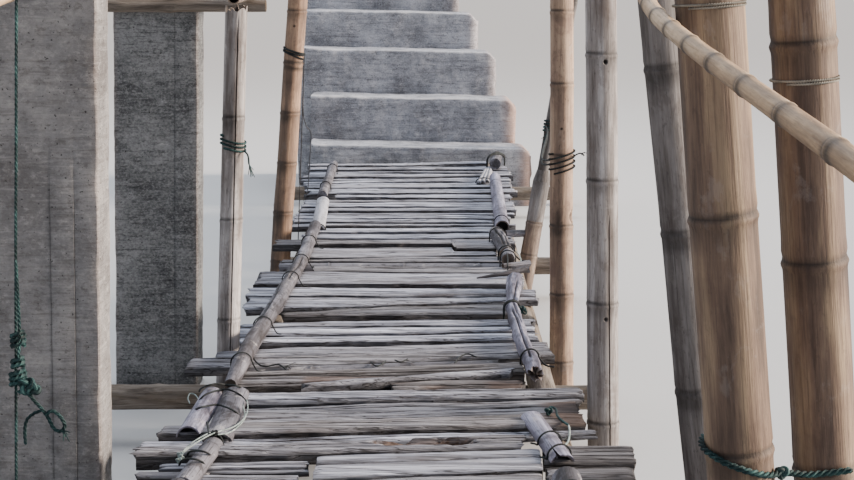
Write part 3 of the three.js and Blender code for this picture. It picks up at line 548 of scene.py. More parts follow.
def circle_angles(sides, *extra):
    base = np.linspace(0, 2 * math.pi, sides, endpoint=False)
    return merged(base, *[np.mod(np.asarray(e, float), 2 * math.pi) for e in extra])[None, :]


def turn_toward(x, y):
    """The angle round an upright post of its side that faces the direction (x, y)."""
    return math.atan2(y, -x)


def skin_noise(angle, turn, along, seed, shift=0.0):
    """Noise round a stem: turn is how fine it is round the girth, along is the coordinate along it."""
    return noise(np.cos(angle) * turn + shift, np.sin(angle) * turn, along, seed)


def within(values, length):
    return values[(values >= 0) & (values <= length)]


# Rows that close a stem's end: depth, share of the girth, darkness, inner wood and, for a cane, tone
# At a cut end the darkness rises down the hollow: painted shade inside the tube
CUT_END = ((0.0, 0.955, 0.1, 0.7, 0), (0.0, 0.82, 0.25, 0.7, 0), (0.012, 0.82, 0.8, 0.5, 0),
           (0.06, 0.82, 1.0, 0.5, 0))
BLUNT_END = ((0.0, 0.92, 0.3, 0.7), (0.004, 0.6, 0.7, 0.7), (0.002, 0.15, 0.8, 0.7))


def capped(body, start_rows, end_rows):
    """The arrays of a stem's skin, place and girth first, with the rows of its two ends added."""
    s, r = body[:2]
    blocks = [body]
    for end, inward, rows in ((0, 1, start_rows), (-1, -1, end_rows)):
        made = [(s[end] + inward * depth, r[end] * share, *[0 * r[end] + value for value in values])
                for depth, share, *values in rows]
        if end:
            blocks += made
        else:
            blocks = made[::-1] + blocks
    return [np.vstack(parts) for parts in zip(*blocks)]


def cane(piece, path, start_radius, end_radius, rings, seed, sides=20, tone=0.5, cracks=(), dents=(),
         open_ends=(True, True), fray=0.0, material=0, swell=0.055, grime=None, scar=None):
    """A round bamboo stem: a ridge at each ring, hollow cut ends, cracks and dents where they are given.

    A crack is (angle, from, to, width, depth); a dent is (angle, place, size, depth)."""
    length = path.length
    near_ring = np.array([-0.022, -0.013, -0.008, -0.004, 0, 0.003, 0.006, 0.010, 0.018])
    extra_s = [near_ring + r for r in rings] + [[a, a + 0.01, b - 0.01, b] for _, a, b, _, _ in cracks]
    extra_s += [p + q * np.linspace(-1.6, 1.6, 9) for _, p, q, _ in dents]
    radius = max(start_radius, end_radius)
    extra_a = [a + w / radius * np.array([-1, -0.5, 0, 0.5, 1]) for a, _, _, w, _ in cracks]
    extra_a += [a + q / radius * np.linspace(-1.6, 1.6, 9) for a, _, q, _ in dents]
    angle = circle_angles(sides, *extra_a)
    steps = merged(np.linspace(0, length, max(4, int(length / 0.045))), *extra_s)
    s = within(steps, length)[:, None] + 0 * angle
    base = start_radius + (end_radius - start_radius) * s / length
    waves = 0.014 * skin_noise(angle, 1.5, s * 3, seed, 9)
    r = base * (1 + waves + 0.006 * skin_noise(angle, 7, s * 5, seed))
    dark = 0.10 + 0.10 * skin_noise(angle, 2, s * 2.5, seed + 1)
    for place in rings:
        wave = place + 0.002 * np.sin(angle + seed)
        r = r + base * swell * bell(s - wave, 0.0055) - base * 0.022 * bell(s - wave - 0.010, 0.004)
        r = r + base * 0.4 * swell * bell(s - wave - 0.016, 0.005)
        dark = dark + 0.55 * bell(s - wave - 0.008, 0.004) + 0.28 * bell(s - wave + 0.012, 0.022)
    for place, at, to, width, depth in cracks:
        window = ease(at - 0.001, at + 0.12, s)
        if to < length:
            window = window * (1 - ease(to - 0.12, to + 0.001, s))
        slot = np.clip(1 - np.abs(round_from(angle, place)) * radius / width, 0, 1) * window
        r = r - depth * slot
        # Painted shade inside the crack
        dark = dark + 1.2 * slot
    for place, at, size, depth in dents:
        hole = 1 - ease(0.55, 1.05, np.hypot(round_from(angle, place) * radius, s - at) / size)
        r = r - depth * hole
        # Painted shade inside the dent
        dark = dark + 1.1 * hole
    # Extra darkness from the caller: stains, and painted shade where a stem turns from the light or stands
    # in shadow
    if grime is not None:
        dark = dark + grime(s, angle)
    tones = tone - 0.5 + 0.12 * skin_noise(angle, 1, s * 1.7, seed + 2, 4)
    if scar is not None:
        side = bell(round_from(angle, scar), 0.8)
        for place in rings:
            mark = side * bell(s - place - 0.006, 0.010)
            tones = tones + 1.2 * mark
            dark = dark + 0.5 * bell(s - place + 0.008, 0.007) - 0.7 * mark
    jag = fray * (0.5 + 0.5 * skin_noise(angle, 4, 1.0, seed))
    s = s - jag * ease(length - 0.25, length, s)
    ends = [CUT_END if is_open else () for is_open in open_ends]
    s, r, dark, inner, tones = capped((s, r, dark, np.zeros_like(r), tones), *ends)
    sweep(piece, path, s, r * np.cos(angle), r * np.sin(angle), seed, paint(s.shape, tones, dark, inner),
          material)


def branch(piece, path, radius_start, radius_end, seed, sides=14, rough=0.05, material=0, step=0.02,
           tone=0.4, knots=0, cracks=(), girths=None, torn=0.0):
    """A natural pole: uneven girth, knots, long cracks, and blunt ends, the first torn if so said.

    A crack is (angle, from, to, width, depth); girths are factors of the radius at even steps."""
    rng = random.Random(seed)
    length = path.length
    s = np.linspace(0, length, max(6, int(length / step)))[:, None]
    angle = circle_angles(sides, *[c[0] + c[3] / radius_start * np.array([-1, -0.5, 0, 0.5, 1])
                                   for c in cracks])
    base = radius_start + (radius_end - radius_start) * s / length + 0 * angle
    if girths is not None:
        base = base * np.interp(s, np.linspace(0, length, len(girths)), girths)
    waves = rough * skin_noise(angle, 1.3, s * 9, seed)
    r = base * (1 + waves + 0.5 * rough * skin_noise(angle, 4, s * 24, seed))
    dark = 0.12 + 0.2 * skin_noise(angle, 3, s * 6, seed + 1)
    for _ in range(knots):
        place, at = rng.uniform(0, 2 * math.pi), rng.uniform(0.08, 0.92) * length
        away = np.hypot(round_from(angle, place) * base, s - at)
        r = r + 0.16 * base * bell(away, 0.020)
        dark = dark + 0.5 * bell(away, 0.009)
    for place, at, to, width, depth in cracks:
        across = np.abs(round_from(angle, place + 0.25 * noise(s * 5, 3.0, seed, seed))) * base
        slot = np.clip(1 - across / width, 0, 1) * ease(at, at + 0.06, s) * (1 - ease(to - 0.06, to, s))
        r = r - depth * slot
        # Painted shade inside the crack
        dark = dark + 1.1 * slot
    ragged = 0.5 + 0.5 * skin_noise(angle, 2.6, 1.0, seed)
    s = s + torn * ragged * (1 - ease(0, 0.12, s))
    s, r, dark, inner = capped((s, r, dark, np.zeros_like(s)), BLUNT_END, BLUNT_END)
    tones = tone - 0.3 + 0.25 * skin_noise(angle, 2, s * 4, seed)
    sweep(piece, path, s, r * np.cos(angle), r * np.sin(angle), seed, paint(s.shape, tones, dark, inner),
          material)


def split_cane(piece, path, radius, wall, seed, rings=(), notches=(), jag=0.006, material=0, tone=0.5,
               flatten=1.0):
    """A length of cane split down its middle, hollow side down. Notches are (angle, depth, width)."""
    length = path.length
    arc = merged(np.linspace(0, math.pi, 15),
                 *[a + w * np.array([-1, -0.4, 0, 0.4, 1]) for a, _, w in notches])
    angle = np.concatenate([arc, arc[::-1]])[None, :]
    outside = np.repeat([True, False], len(arc))[None, :]
    near_ring = np.array([-0.016, -0.008, -0.004, 0, 0.004, 0.009, 0.016])
    s_line = merged(np.linspace(0, length, max(6, int(length / 0.02))), *[near_ring + r for r in rings])
    s_line = within(s_line, length)[:, None]
    s = s_line + 0 * angle
    end_jag = jag * (0.5 + 0.5 * noise(angle * 5, seed, 0.5, seed))
    for place, depth, width in notches:
        end_jag = end_jag + depth * bell(angle - place, 0.7 * width)
    s = s - end_jag * ease(length - 0.16, length, s_line)
    s = s + jag * (0.5 + 0.5 * noise(angle * 5, seed, 8.5, seed)) * (1 - ease(0, 0.05, s_line))
    outer_r = radius * (1 + 0.02 * noise(angle * 2, s * 8, 1.0, seed))
    dark = 0.08 + 0.10 * noise(angle * 3, s * 9, 3.0, seed)
    for place in rings:
        outer_r = outer_r + radius * 0.06 * bell(s - place, 0.005)
        outer_r = outer_r - 0.02 * radius * bell(s - place - 0.009, 0.004)
        dark = dark + 0.5 * bell(s - place - 0.007, 0.004) + 0.2 * bell(s - place, 0.018)
    r = np.where(outside, outer_r, outer_r - wall)
    # Painted shade on the hollow underside and along the lower edges that meet the walkway
    dark = np.where(outside, dark, 0.75) + 0.3 * bell(np.sin(angle), 0.12)
    tones = tone - 0.4 + 0.15 * noise(angle * 2, s * 5, 5.0, seed)
    marks = paint(s.shape, tones, dark, np.where(outside, 0.0, 0.4))
    sweep(piece, path, s, r * np.cos(angle), flatten * r * np.sin(angle), seed, marks, material)


# Cords and ropes

# The radius of one of a rope's three strands, for a rope of radius 1
STRAND = 0.464
# How far below the walkway's top a tie goes
TIE_DEPTH = 0.02


def cord(piece, points, radius, seed=0, material=0, up=UP, step=None, sides=7):
    """A thin smooth cord through a few points, with tapered tips."""
    path = Path(points, up, step or max(0.004, 1.6 * radius))
    s = path.s[:, None]
    angle = circle_angles(sides)
    girth = radius * (1 + 0.06 * noise(s * 90, seed, 0.0, seed))
    girth = girth * np.where((s == 0) | (s == path.length), 0.6, 1)
    sweep(piece, path, s + 0 * angle, girth * np.cos(angle), girth * np.sin(angle), seed, None, material)


def rope(piece, points, radius, pitch, seed=0, up=UP, sides=12, wander=0.0):
    """A rope laid from three strands, as one twisted skin."""
    path = Path(points, up, pitch / 9)
    s = path.s[:, None]
    angle = circle_angles(sides)
    off = np.abs(np.mod(angle + math.pi / 3, 2 * math.pi / 3) - math.pi / 3)
    middle = 1 - STRAND
    lobe = middle * np.cos(off) + np.sqrt(np.maximum(STRAND ** 2 - (middle * np.sin(off)) ** 2, 0.02))
    turn = 2 * math.pi * s / pitch
    girth = radius * lobe * (1 + 0.03 * noise(s * 30, 0.0, seed, seed))
    girth = girth * np.where((s == 0) | (s == path.length), 0.5, 1)
    u = girth * np.cos(angle + turn) + wander * noise(s * 3, 2.0, seed, seed)
    v = girth * np.sin(angle + turn) + wander * noise(s * 3, 9.0, seed, seed)
    # Painted shade in the grooves between the strands
    groove = np.clip(1.1 - lobe, 0, 1) ** 2
    sweep(piece, path, s + 0 * angle, u, v, seed, paint(u.shape, 0.5, groove))


def knot(piece, centre, size, radius, seed, material=0, tilt=0.0):
    """A tight overhand knot."""
    t = np.linspace(0, 2 * math.pi, 40)[:-1]
    x = size * (np.sin(t) + 2 * np.sin(2 * t)) / 3
    y = -size * np.sin(3 * t) / 3
    z = size * (np.cos(t) - 2 * np.cos(2 * t)) / 3
    cosine, sine = math.cos(tilt), math.sin(tilt)
    turned = np.stack([x * cosine - z * sine, y, x * sine + z * cosine], axis=-1)
    cord(piece, np.array(centre) + turned, radius, seed, material, up=(0.3, 1, 0.2))


def frayed_end(piece, start_at, toward, length, radius, seed, material=0, count=6):
    """Loose yarns that spread from a cord's end."""
    rng = random.Random(seed)
    origin, ahead = np.array(start_at, float), np.array(toward, float)
    for i in range(count):
        spread = np.array([rng.uniform(-1, 1) for _ in range(3)]) * 0.55
        tip = origin + (ahead + spread) * length * rng.uniform(0.6, 1.0) - np.array([0, 0, 0.25 * length])
        middle = origin + (ahead + 0.4 * spread) * length * 0.5
        cord(piece, [origin, middle, tip], radius, seed + i, material, up=(0.21, 0.3, 0.9), sides=5)


def coil_round(centre, radius, turns, pitch, slope=0.0, start_turn=0.0, tilt=0.0):
    """Points of a cord wound round an upright post, from below to above."""
    count = max(8, int(turns * 14))
    points = []
    for i in range(count + 1):
        a = start_turn + 2 * math.pi * turns * i / count
        rise = pitch * (i / count - 0.5) * turns + tilt * math.cos(a) * radius
        points.append((centre[0] + radius * math.cos(a) + slope * rise, centre[1] + radius * math.sin(a),
                       centre[2] + rise))
    return points


def tie_over(piece, path, s, radius, cord_radius, seed, turns=1, gap=0.008, skew=0.0, width=1.0, tail=0.0):
    """A cord over a kerb pole, down into the walkway on both sides or, on the right, to a loose tail."""
    for k in range(turns):
        place = s + (k - (turns - 1) / 2) * gap
        centre, side, upper = [value[0] for value in path.at(np.array([place]))]
        ahead = np.cross(upper, side)
        reach = radius * width + cord_radius
        points = [centre + side * reach * math.cos(a) + upper * (radius + cord_radius) * math.sin(a)
                  + ahead * skew * math.cos(a) * reach for a in np.linspace(0, math.pi, 9)]
        drop = np.array([0, 0, centre[2] - (DECK_TOP - TIE_DEPTH)])
        first = [points[0] - drop]
        if tail > 0:
            low = points[0] * [1, 1, 0] + [0.004, -0.004, DECK_TOP + cord_radius]
            first = [low + side * tail - ahead * 0.7 * tail, low + side * 0.4 * tail - ahead * 0.2 * tail]
        cord(piece, first + points + [points[-1] - drop], cord_radius, seed + k, 1, tuple(ahead))


def raised(place):
    """A point of the picture at its height over the walkway in millimetres."""
    across, down, lift = place
    return seen(across, down, DECK_TOP + lift / 1000)


def cord_seen(piece, places, radius, seed, material=1):
    cord(piece, [raised(place) for place in places], radius, seed, material, up=(0.1, 0.4, 1))


def knot_seen(piece, place, size, radius, seed, material, tilt=0.0):
    knot(piece, raised(place), size, radius, seed, material, tilt)


# Walkway rows: near edge and far edge as y at x = -0.5 and +0.5, left and right ends, the kind
# of piece and its tone from 0, brown, to 9, pale. All in millimetres, as measured.
EDGE_MARK = 0.5
SEEN_PLANKS = [
    (3462, 3466, 3430, 3548, -170, 390, "strip", 4),
    (3478, 3500, 3515, 3540, -490, -195, "strip", 5),
    (3470, 3482, 3550, 3570, 394, 615, "block", 3),
    (3525, 3530, 3556, 3562, -630, -435, "strip", 3),
    (3440, 3563, 3600, 3724, -180, 392, "smooth", 6),
    (3566, 3600, 3622, 3660, -575, -190, "strip", 5),
    (3600, 3612, 3715, 3730, 396, 635, "block", 3),
    (3634, 3735, 3690, 3829, -655, 375, "rotten", 4),
    (3717, 3865, 3784, 3888, -655, 565, "strip", 9),
    (3793, 3898, 3884, 4020, -615, 535, "board", 3),
    (3896, 4032, 4035, 4145, -505, 535, "board", 4),
    (4046, 4161, 4100, 4200, -505, 555, "strip", 5),
    (4110, 4210, 4201, 4269, -505, 560, "board", 6),
    (4215, 4280, 4300, 4350, -20, 400, "strip", 0),
    (4248, 4388, 4340, 4398, -485, 20, "brown", 3),
    (4168, 4411, 4195, 4459, -285, 375, "raised", 5),
    (4352, 4428, 4397, 4524, -505, 400, "board", 2),
    (4418, 4550, 4480, 4612, -470, 330, "cane", 5),
    (4493, 4620, 4608, 4689, -655, 505, "board", 4),
    (4616, 4697, 4717, 4833, -585, 500, "board", 5),
    (4796, 4861, 4872, 4952, -545, 475, "strip", 9),
    (4884, 4960, 4970, 5004, -555, 475, "board", 8),
    (4980, 5014, 5013, 5092, -555, 475, "board", 9),
    (5022, 5100, 5073, 5153, -555, 470, "strip", 9),
    (5134, 5195, 5172, 5385, -435, 420, "board", 3),
    (5272, 5420, 5440, 5480, -585, 515, "board", 6),
    (5450, 5490, 5597, 5602, -595, 510, "board", 7),
    (5652, 5648, 5878, 5850, -575, 475, "board", 5),
    (5892, 5865, 6000, 5998, -385, 450, "board", 4),
    (6020, 6010, 6082, 6072, -525, 520, "cane", 8),
    (6090, 6084, 6144, 6220, -525, 415, "board", 4),
    (6156, 6232, 6438, 6438, -445, 395, "notched", 5),
    (6450, 6450, 6585, 6590, -595, 490, "tongued", 4),
    (6596, 6600, 6735, 6740, -485, 475, "board", 7),
    (6745, 6750, 6866, 6905, -455, 415, "board", 7),
    (6920, 6975, 7003, 7022, -555, 515, "strip", 6),
    (7012, 7030, 7100, 7100, -565, 415, "board", 8),
    (7108, 7108, 7205, 7222, -565, 495, "board", 8),
    (7262, 7282, 7312, 7332, -565, 525, "strip", 7),
    (7335, 7350, 7425, 7455, -555, 535, "board", 6),
    (7437, 7467, 7600, 7640, -555, 535, "board", 7),
    (7615, 7690, 7710, 7735, -555, 515, "strip", 5),
    (7722, 7745, 7835, 7885, -405, 535, "board", 7),
    (7850, 7930, 7965, 8020, -555, 565, "board", 6),
    (7985, 8030, 8060, 8095, -585, 565, "strip", 7),
    (8072, 8105, 8170, 8235, -585, 565, "board", 6),
    (8182, 8247, 8262, 8345, -615, 560, "strip", 8),
    (8275, 8357, 8350, 8430, -615, 560, "strip", 7),
    (8362, 8442, 8438, 8500, -635, 560, "strip", 8),
    (8450, 8512, 8560, 8590, -635, 575, "board", 6),
    (8572, 8602, 8655, 8685, -615, 575, "strip", 8),
    (8667, 8697, 8740, 8770, -615, 580, "strip", 7),
    (8752, 8785, 8870, 8955, -625, 575, "board", 7),
    (8915, 9030, 9010, 9140, -645, 455, "board", 9),
]
PLAIN_WIDTHS = (135, 60, 95, 110, 50, 145, 70, 85, 120, 55, 100)
PLAIN_GAP = 10
PLAIN_END = 3455
# The narrowest row that may be left over before the end, and the width below which a row is a strip
LEAST_REST = 60
STRIP_WIDTH = 75
# The walkway nearer than this isn't in the picture
FIRST_SEEN = 3.4
BAY_STARTS = (950, 2300, 3455, 4796, 6156, 7437)
CORDED_BAY = 3
NOTCH_X = 0.200
NOTCH_DEPTH = 0.100
NOTCH_GAP = 0.008
TONGUE_INSET = 0.095
STRIP_DROP = 0.006
# Boards with a brown right end, by their near edge
BROWN_ENDS = (3793, 3896)


def plain_planks():
    rows = []
    near, i = DECK_START * 1000, 0
    while near < PLAIN_END:
        width = PLAIN_WIDTHS[i % len(PLAIN_WIDTHS)]
        far = PLAIN_END if near + width > PLAIN_END - LEAST_REST else near + width
        kind = "strip" if width < STRIP_WIDTH else "board"
        left, right = -600 - 25 * (i % 3), min(535 + 15 * ((i * 2) % 3), 552)
        rows.append((near, near, far, far, left, right, kind, (i * 5) % 7 + 2))
        near, i = far + PLAIN_GAP, i + 1
    return rows


def rot_depth(x, y):
    """The rotted hollow in the near board."""
    edge = np.hypot((x - 0.095) / 0.135, (y - 3.742 - 0.02 * x) / 0.024)
    edge = edge + 0.25 * noise(x * 22, y * 60, 0.0, 3)
    return 0.021 * (1 - ease(0.75, 1.05, edge))


def plank(piece, row, seed):
    near_l, near_r, far_l, far_r, left, right = [value / 1000 for value in row[:6]]
    kind, tone = row[6], 0.57 + 1.9 * (row[7] / 9 - 0.60)
    rng = random.Random(seed * 7 + 1)
    plain = kind in ("smooth", "block", "raised")
    distance = ease(4.0, 6.6, near_l)
    level, tip, tilt = rng.uniform(-0.008, 0.002), rng.uniform(-0.005, 0.005), rng.uniform(-0.07, 0.07)
    level = level * (1.7 - 1.3 * distance) + 0.0035 * (1 - distance)
    tip = tip * (1 - 0.4 * distance)
    tilt = tilt * (1 - distance) - 0.055 * distance
    if plain:
        level, tip, tilt = 0.0, 0.0, 0.0

    def line(at_left, at_right, x):
        return at_left + (at_right - at_left) * (x / EDGE_MARK + 1) / 2

    def near(x):
        y = line(near_l, near_r, x)
        if kind == "tongued":
            inside = (x > NOTCH_X + NOTCH_GAP) & (x < right - TONGUE_INSET)
            y = y - NOTCH_DEPTH * inside
        return y

    def far(x):
        y = line(far_l, far_r, x)
        return y - NOTCH_DEPTH * (x > NOTCH_X) if kind == "notched" else y

    base, top_level = PLANK_BASE, DECK_TOP + level
    if kind == "strip":
        top_level -= STRIP_DROP
    if kind == "raised":
        base, top_level = DECK_TOP - 2 * STRIP_DROP, DECK_TOP + 0.016
    if kind == "cane":
        rise = DECK_TOP - PLANK_BASE
        start_at = (left, (near(left) + far(left)) / 2, PLANK_BASE)
        end_at = (right, (near(right) + far(right)) / 2, PLANK_BASE)
        radius = (far_l - near_l) / 2
        split_cane(piece, Path([start_at, end_at], step=0.1), radius, 0.006, seed, rings=(0.21, 0.52, 0.83),
                   material=1, tone=tone, flatten=rise / radius, jag=0.015)
        return
    width = far((left + right) / 2) - near((left + right) / 2)

    def top(x):
        return top_level + tip * x / EDGE_MARK + 0.0025 * noise(x * 3.1, seed, 0.0, seed)

    def brown_wood(x, y):
        return 0.75 * ease(-0.2, 0.5, noise(x * 9, y * 30, 0.0, seed))

    def brown_end(x, y):
        return 0.9 * ease(right - 0.13, right - 0.07, x + 0.02 * noise(y * 30, seed, 0.0, seed))

    # Painted shade on the right ends of the near boards, against the warm light from the right
    def right_end_shade(x):
        return 0.42 * (1 - distance) * ease(0.40, 0.52, x)

    inner_at = brown_end if row[0] in BROWN_ENDS else None
    if kind == "brown" or row[7] == 0:
        inner_at = brown_wood
    hidden = far_l < FIRST_SEEN
    board(piece, seed, left, right, near, far, base, top, tone,
          relief=0.45 if kind == "smooth" else 0.85 + 0.45 * distance, step=0.017 if hidden else 0.009,
          fray=0.004 if kind == "smooth" else 0.010 if kind == "block" else rng.uniform(0.010, 0.040),
          checks=1 if kind == "smooth" else 0 if width < 0.04 or hidden else rng.choice((2, 3, 3, 4)),
          dip=rot_depth if kind == "rotten" else None,
          edge=0.004 if kind == "smooth" else 0.009 - 0.0055 * distance,
          inner_at=inner_at, tilt=0.0 if width < 0.04 else tilt, grime=right_end_shade)


def stringers(piece, first, last, seed):
    for i, x in enumerate(STRINGER_X):
        points = [(x, first, STRINGER_AXIS), (x, last, STRINGER_AXIS)]
        branch(piece, Path(points, step=0.1), STRINGER_RADIUS, STRINGER_RADIUS * 0.98, seed + i,
               rough=0.03, material=2, step=0.05, knots=3)


def deck():
    rows = plain_planks() + SEEN_PLANKS
    firsts = [next(i for i, row in enumerate(rows) if row[0] >= begin - 1) for begin in BAY_STARTS]
    firsts.append(len(rows))
    for bay in range(len(BAY_STARTS)):
        name = f"deck_bay_{bay + 1}"
        piece = Piece(name + "_planks", PLANK, KERB, LOG, DARK_CORD)
        for i in range(firsts[bay], firsts[bay + 1]):
            plank(piece, rows[i], 101 + i)
        begin = BAY_STARTS[bay] / 1000
        end = BAY_STARTS[bay + 1] / 1000 if bay + 1 < len(BAY_STARTS) else DECK_END
        stringers(piece, begin + 0.01, end + 0.01 if end < DECK_END else DECK_END, 900 + 5 * bay)
        if bay == CORDED_BAY:
            deck_cords(piece)
        piece.build("deck_wood", name)


def deck_cords(piece):
    """Cord that lies on the walkway, tied over the split cane."""
    z = DECK_TOP + 0.004
    cord(piece, [(-0.452, 4.520, z + 0.03), (-0.434, 4.504, z + 0.004), (-0.403, 4.465, z),
                 (-0.360, 4.473, z + 0.004), (-0.319, 4.391, z)], 0.0026, 1, 3)
    frayed_end(piece, (-0.345, 4.45, z), (0.6, 0.4, 0.1), 0.05, 0.0011, 5, 3, count=5)
    for bits in (((371, 362), (376, 366), (381, 365), (386, 361)),
                 ((455, 363), (460, 357), (468, 354), (477, 357)), ((395, 360), (401, 362), (408, 359))):
        cord(piece, [seen(across, down, z) for across, down in bits], 0.0024, 2, 3)


deck()

# Posts: place at walkway level, sideways slope, girth, top, spacing and first of the rings, as in the
# solids, then material, slot and tone
POST_KEYS = ("x", "y", "slope", "girth", "top", "ring", "first", "material", "slot", "tone")
POSTS = {name: dict(zip(POST_KEYS, row)) for name, row in {
    "post_right_1": (0.608, 2.050, -0.101, 0.098, 2.250, 0.340, 0.183, BROWN_CANE, "brown_cane", 0.60),
    "post_right_2": (0.741, 2.100, -0.099, 0.094, 2.230, 0.310, 0.200, BROWN_CANE, "brown_cane", 0.40),
    "post_right_3": (0.700, 2.950, -0.128, 0.080, 1.750, 0.330, 0.355, GREY_CANE, "tan_cane", 0.35),
    "post_right_4": (0.598, 4.080, -0.029, 0.090, 1.660, 0.345, 0.250, GREY_CANE, "grey_cane", 0.50),
    "post_right_5": (0.578, 5.240, -0.016, 0.086, 1.600, 0.250, 0.103, RED_CANE, "red_cane", 0.72),
    "post_left_near": (-0.712, 2.050, 0.080, 0.094, 2.250, 0.320, 0.260, TAN_CANE, "tan_cane", 0.40),
    "post_left_short": (-0.554, 4.755, 0.048, 0.075, 1.400, 0.330, 0.380, GREY_CANE, "grey_cane", 0.55),
    "post_left_far": (-0.567, 6.660, 0.083, 0.090, 1.700, 0.225, 0.182, GOLD_CANE, "tan_cane", 0.62),
    "mast_left_end": (-0.805, 9.300, 0.080, 0.090, 2.200, 0.330, 0.230, TAN_CANE, "tan_cane", 0.35),
    "mast_right_end": (0.925, 9.300, -0.040, 0.090, 2.200, 0.330, 0.180, TAN_CANE, "tan_cane", 0.35),
}.items()}
POST_TAPER = 0.93
TOWARD_EYE = turn_toward(0, -1)


def axis_x(post, z):
    return post["x"] + post["slope"] * (z - DECK_TOP)


def girth_radius(post, z):
    return post["girth"] / 2 * (1 + (POST_TAPER - 1) * z / post["top"])


def edge_x(post, z, side, gap=0.0):
    """The side of a post at height z, right for side 1 and left for -1."""
    return axis_x(post, z) + side * (girth_radius(post, z) + gap)


def far_left(angle):
    """1 at the left edge of a post, as seen from the near end, where painted shade is laid."""
    return bell(round_from(angle, TOWARD_EYE + 1.25), 0.50)


def short_post_stain_and_shade(s, angle):
    """Darker to the left of its long split, with painted shade at its left edge."""
    left = ease(0.0, 0.25, round_from(angle, TOWARD_EYE - 0.32))
    left = left * (1 - ease(1.3, 1.8, round_from(angle, TOWARD_EYE)))
    return 0.22 * left - 0.15 * (1 - left) + 0.2 * bell(s - 1.02, 0.05) + 0.22 * far_left(angle)


# A little darker all over, darker low down and in a band on the right; painted shade at the left edge
def fourth_post_stain_and_shade(s, angle):
    right = 1 - ease(-0.45, -0.30, round_from(angle, TOWARD_EYE))
    low = 0.20 * (1 - right) * ease(0.0, 0.9, 1.1 - s)
    return 0.10 + low + 0.25 * bell(s - 0.75, 0.10) * right + 0.20 * far_left(angle)


def left_side(angle):
    """1 on the left half of a post, as seen from the near end, where painted shade is laid."""
    return ease(-0.45, 0.25, round_from(angle, TOWARD_EYE))


# Painted shade on the left side of the two near right posts, away from the warm light
def pair_shade(s, angle):
    return 0.27 * ease(-0.50, -0.28, round_from(angle, TOWARD_EYE)) + 0 * s


# A dark spot and a darker lower part; the darker left half, more so up high, is painted shade away from the
# warm light
def fifth_post_stain_and_shade(s, angle):
    spot = bell(round_from(angle, TOWARD_EYE + 0.35), 0.35) * bell(s - 0.63, 0.06)
    above = ease(0.75, 0.95, s)
    return 0.45 * spot + 0.18 * (1 - ease(0.55, 0.85, s)) + (0.26 + 0.10 * above) * left_side(angle)


# Two dark rings, a pale band and a darker lower part; the darker left half is painted shade away from the
# warm light
def far_post_stain_and_shade(s, angle):
    rings = bell(s - 1.06, 0.006) + bell(s - 1.085, 0.005)
    left = ease(-0.35, 0.45, round_from(angle, TOWARD_EYE))
    low = 1 - ease(0.98, 1.12, s)
    return 0.02 + 0.52 * left + 0.20 * low + 0.5 * rings - 0.35 * bell(s - 0.92, 0.04)


def shaded(s, angle):
    return 0.66 + 0 * s


POST_DETAILS = {
    "post_right_1": dict(grime=pair_shade),
    "post_right_2": dict(grime=pair_shade),
    "post_right_3": dict(grime=shaded),
    "post_right_4": dict(
        cracks=[(TOWARD_EYE - 0.34, 0.0, 0.86, 0.0022, 0.008)],
        dents=[(TOWARD_EYE - 0.15, 1.270, 0.007, 0.012), (TOWARD_EYE - 0.1, 0.56, 0.006, 0.006)],
        grime=fourth_post_stain_and_shade,
    ),
    "post_left_short": dict(
        cracks=[(TOWARD_EYE - 0.32, 0.0, 1.40, 0.0028, 0.010)],
        fray=0.035, grime=short_post_stain_and_shade,
    ),
    "post_right_5": dict(
        dents=[(TOWARD_EYE - 1.25, 0.640, 0.024, 0.017), (TOWARD_EYE + 0.1, 0.955, 0.005, 0.003)],
        grime=fifth_post_stain_and_shade,
    ),
    "post_left_far": dict(dents=[(TOWARD_EYE + 0.1, 1.245, 0.006, 0.003)], grime=far_post_stain_and_shade),
}


def posts():
    for index, (name, post) in enumerate(POSTS.items()):
        piece = Piece(name + "_cane", post["material"])
        rings = np.arange(post["first"], post["top"] - 0.03, post["ring"])
        marks = [0.0, *rings, post["top"]]
        rng = random.Random(400 + index)
        line = [(axis_x(post, z) + (rng.uniform(-0.002, 0.002) if 0 < z < post["top"] else 0), post["y"], z)
                for z in marks]
        cane(piece, Path(line, up=AWAY, step=0.03), girth_radius(post, 0), girth_radius(post, post["top"]),
             rings, 300 + index, sides=28, tone=post["tone"], **POST_DETAILS.get(name, {}))
        piece.build(post["slot"], name)


posts()

# Cross poles, brace and tie pole
TRANSOM_SPANS = {
    "transom_1": (-0.840, 0.900), "transom_2": (-1.010, 0.900), "transom_3": (-1.020, 0.700),
    "transom_4": (-0.610, 0.745), "transom_5": (-0.800, 0.940),
}
BRACE = dict(x=0.565, slope=0.153, foot=0.0395, pole=0.0265, ring=0.370, neck=0.550, split=0.600, top=1.720)
TIE_POLE = dict(radius=0.0225, left=-1.040, right=-0.460)


def middle_y(name):
    low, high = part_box(name)
    return (low.y + high.y) / 2 - SHIFT[1]


def poles():
    for index, (name, (left, right)) in enumerate(TRANSOM_SPANS.items()):
        piece = Piece(name + "_log", LOG)
        y = middle_y(name)
        path = Path([(left, y, TRANSOM_AXIS), (right, y, TRANSOM_AXIS)], step=0.1)
        branch(piece, path, TRANSOM_RADIUS * 0.97, TRANSOM_RADIUS * 0.93, 500 + index, sides=18, rough=0.03,
               step=0.03, knots=6)
        piece.build("log_wood", name)
    piece = Piece("pillar_tie_log", LOG)
    low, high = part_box("pillar_tie_pole")
    y, z = middle_y("pillar_tie_pole"), (low.z + high.z) / 2
    branch(piece, Path([(TIE_POLE["left"], y, z), (TIE_POLE["right"], y, z)], step=0.1), TIE_POLE["radius"],
           TIE_POLE["radius"] * 0.95, 520, rough=0.04, knots=3, tone=-0.5)
    piece.build("log_wood", "pillar_tie_pole")


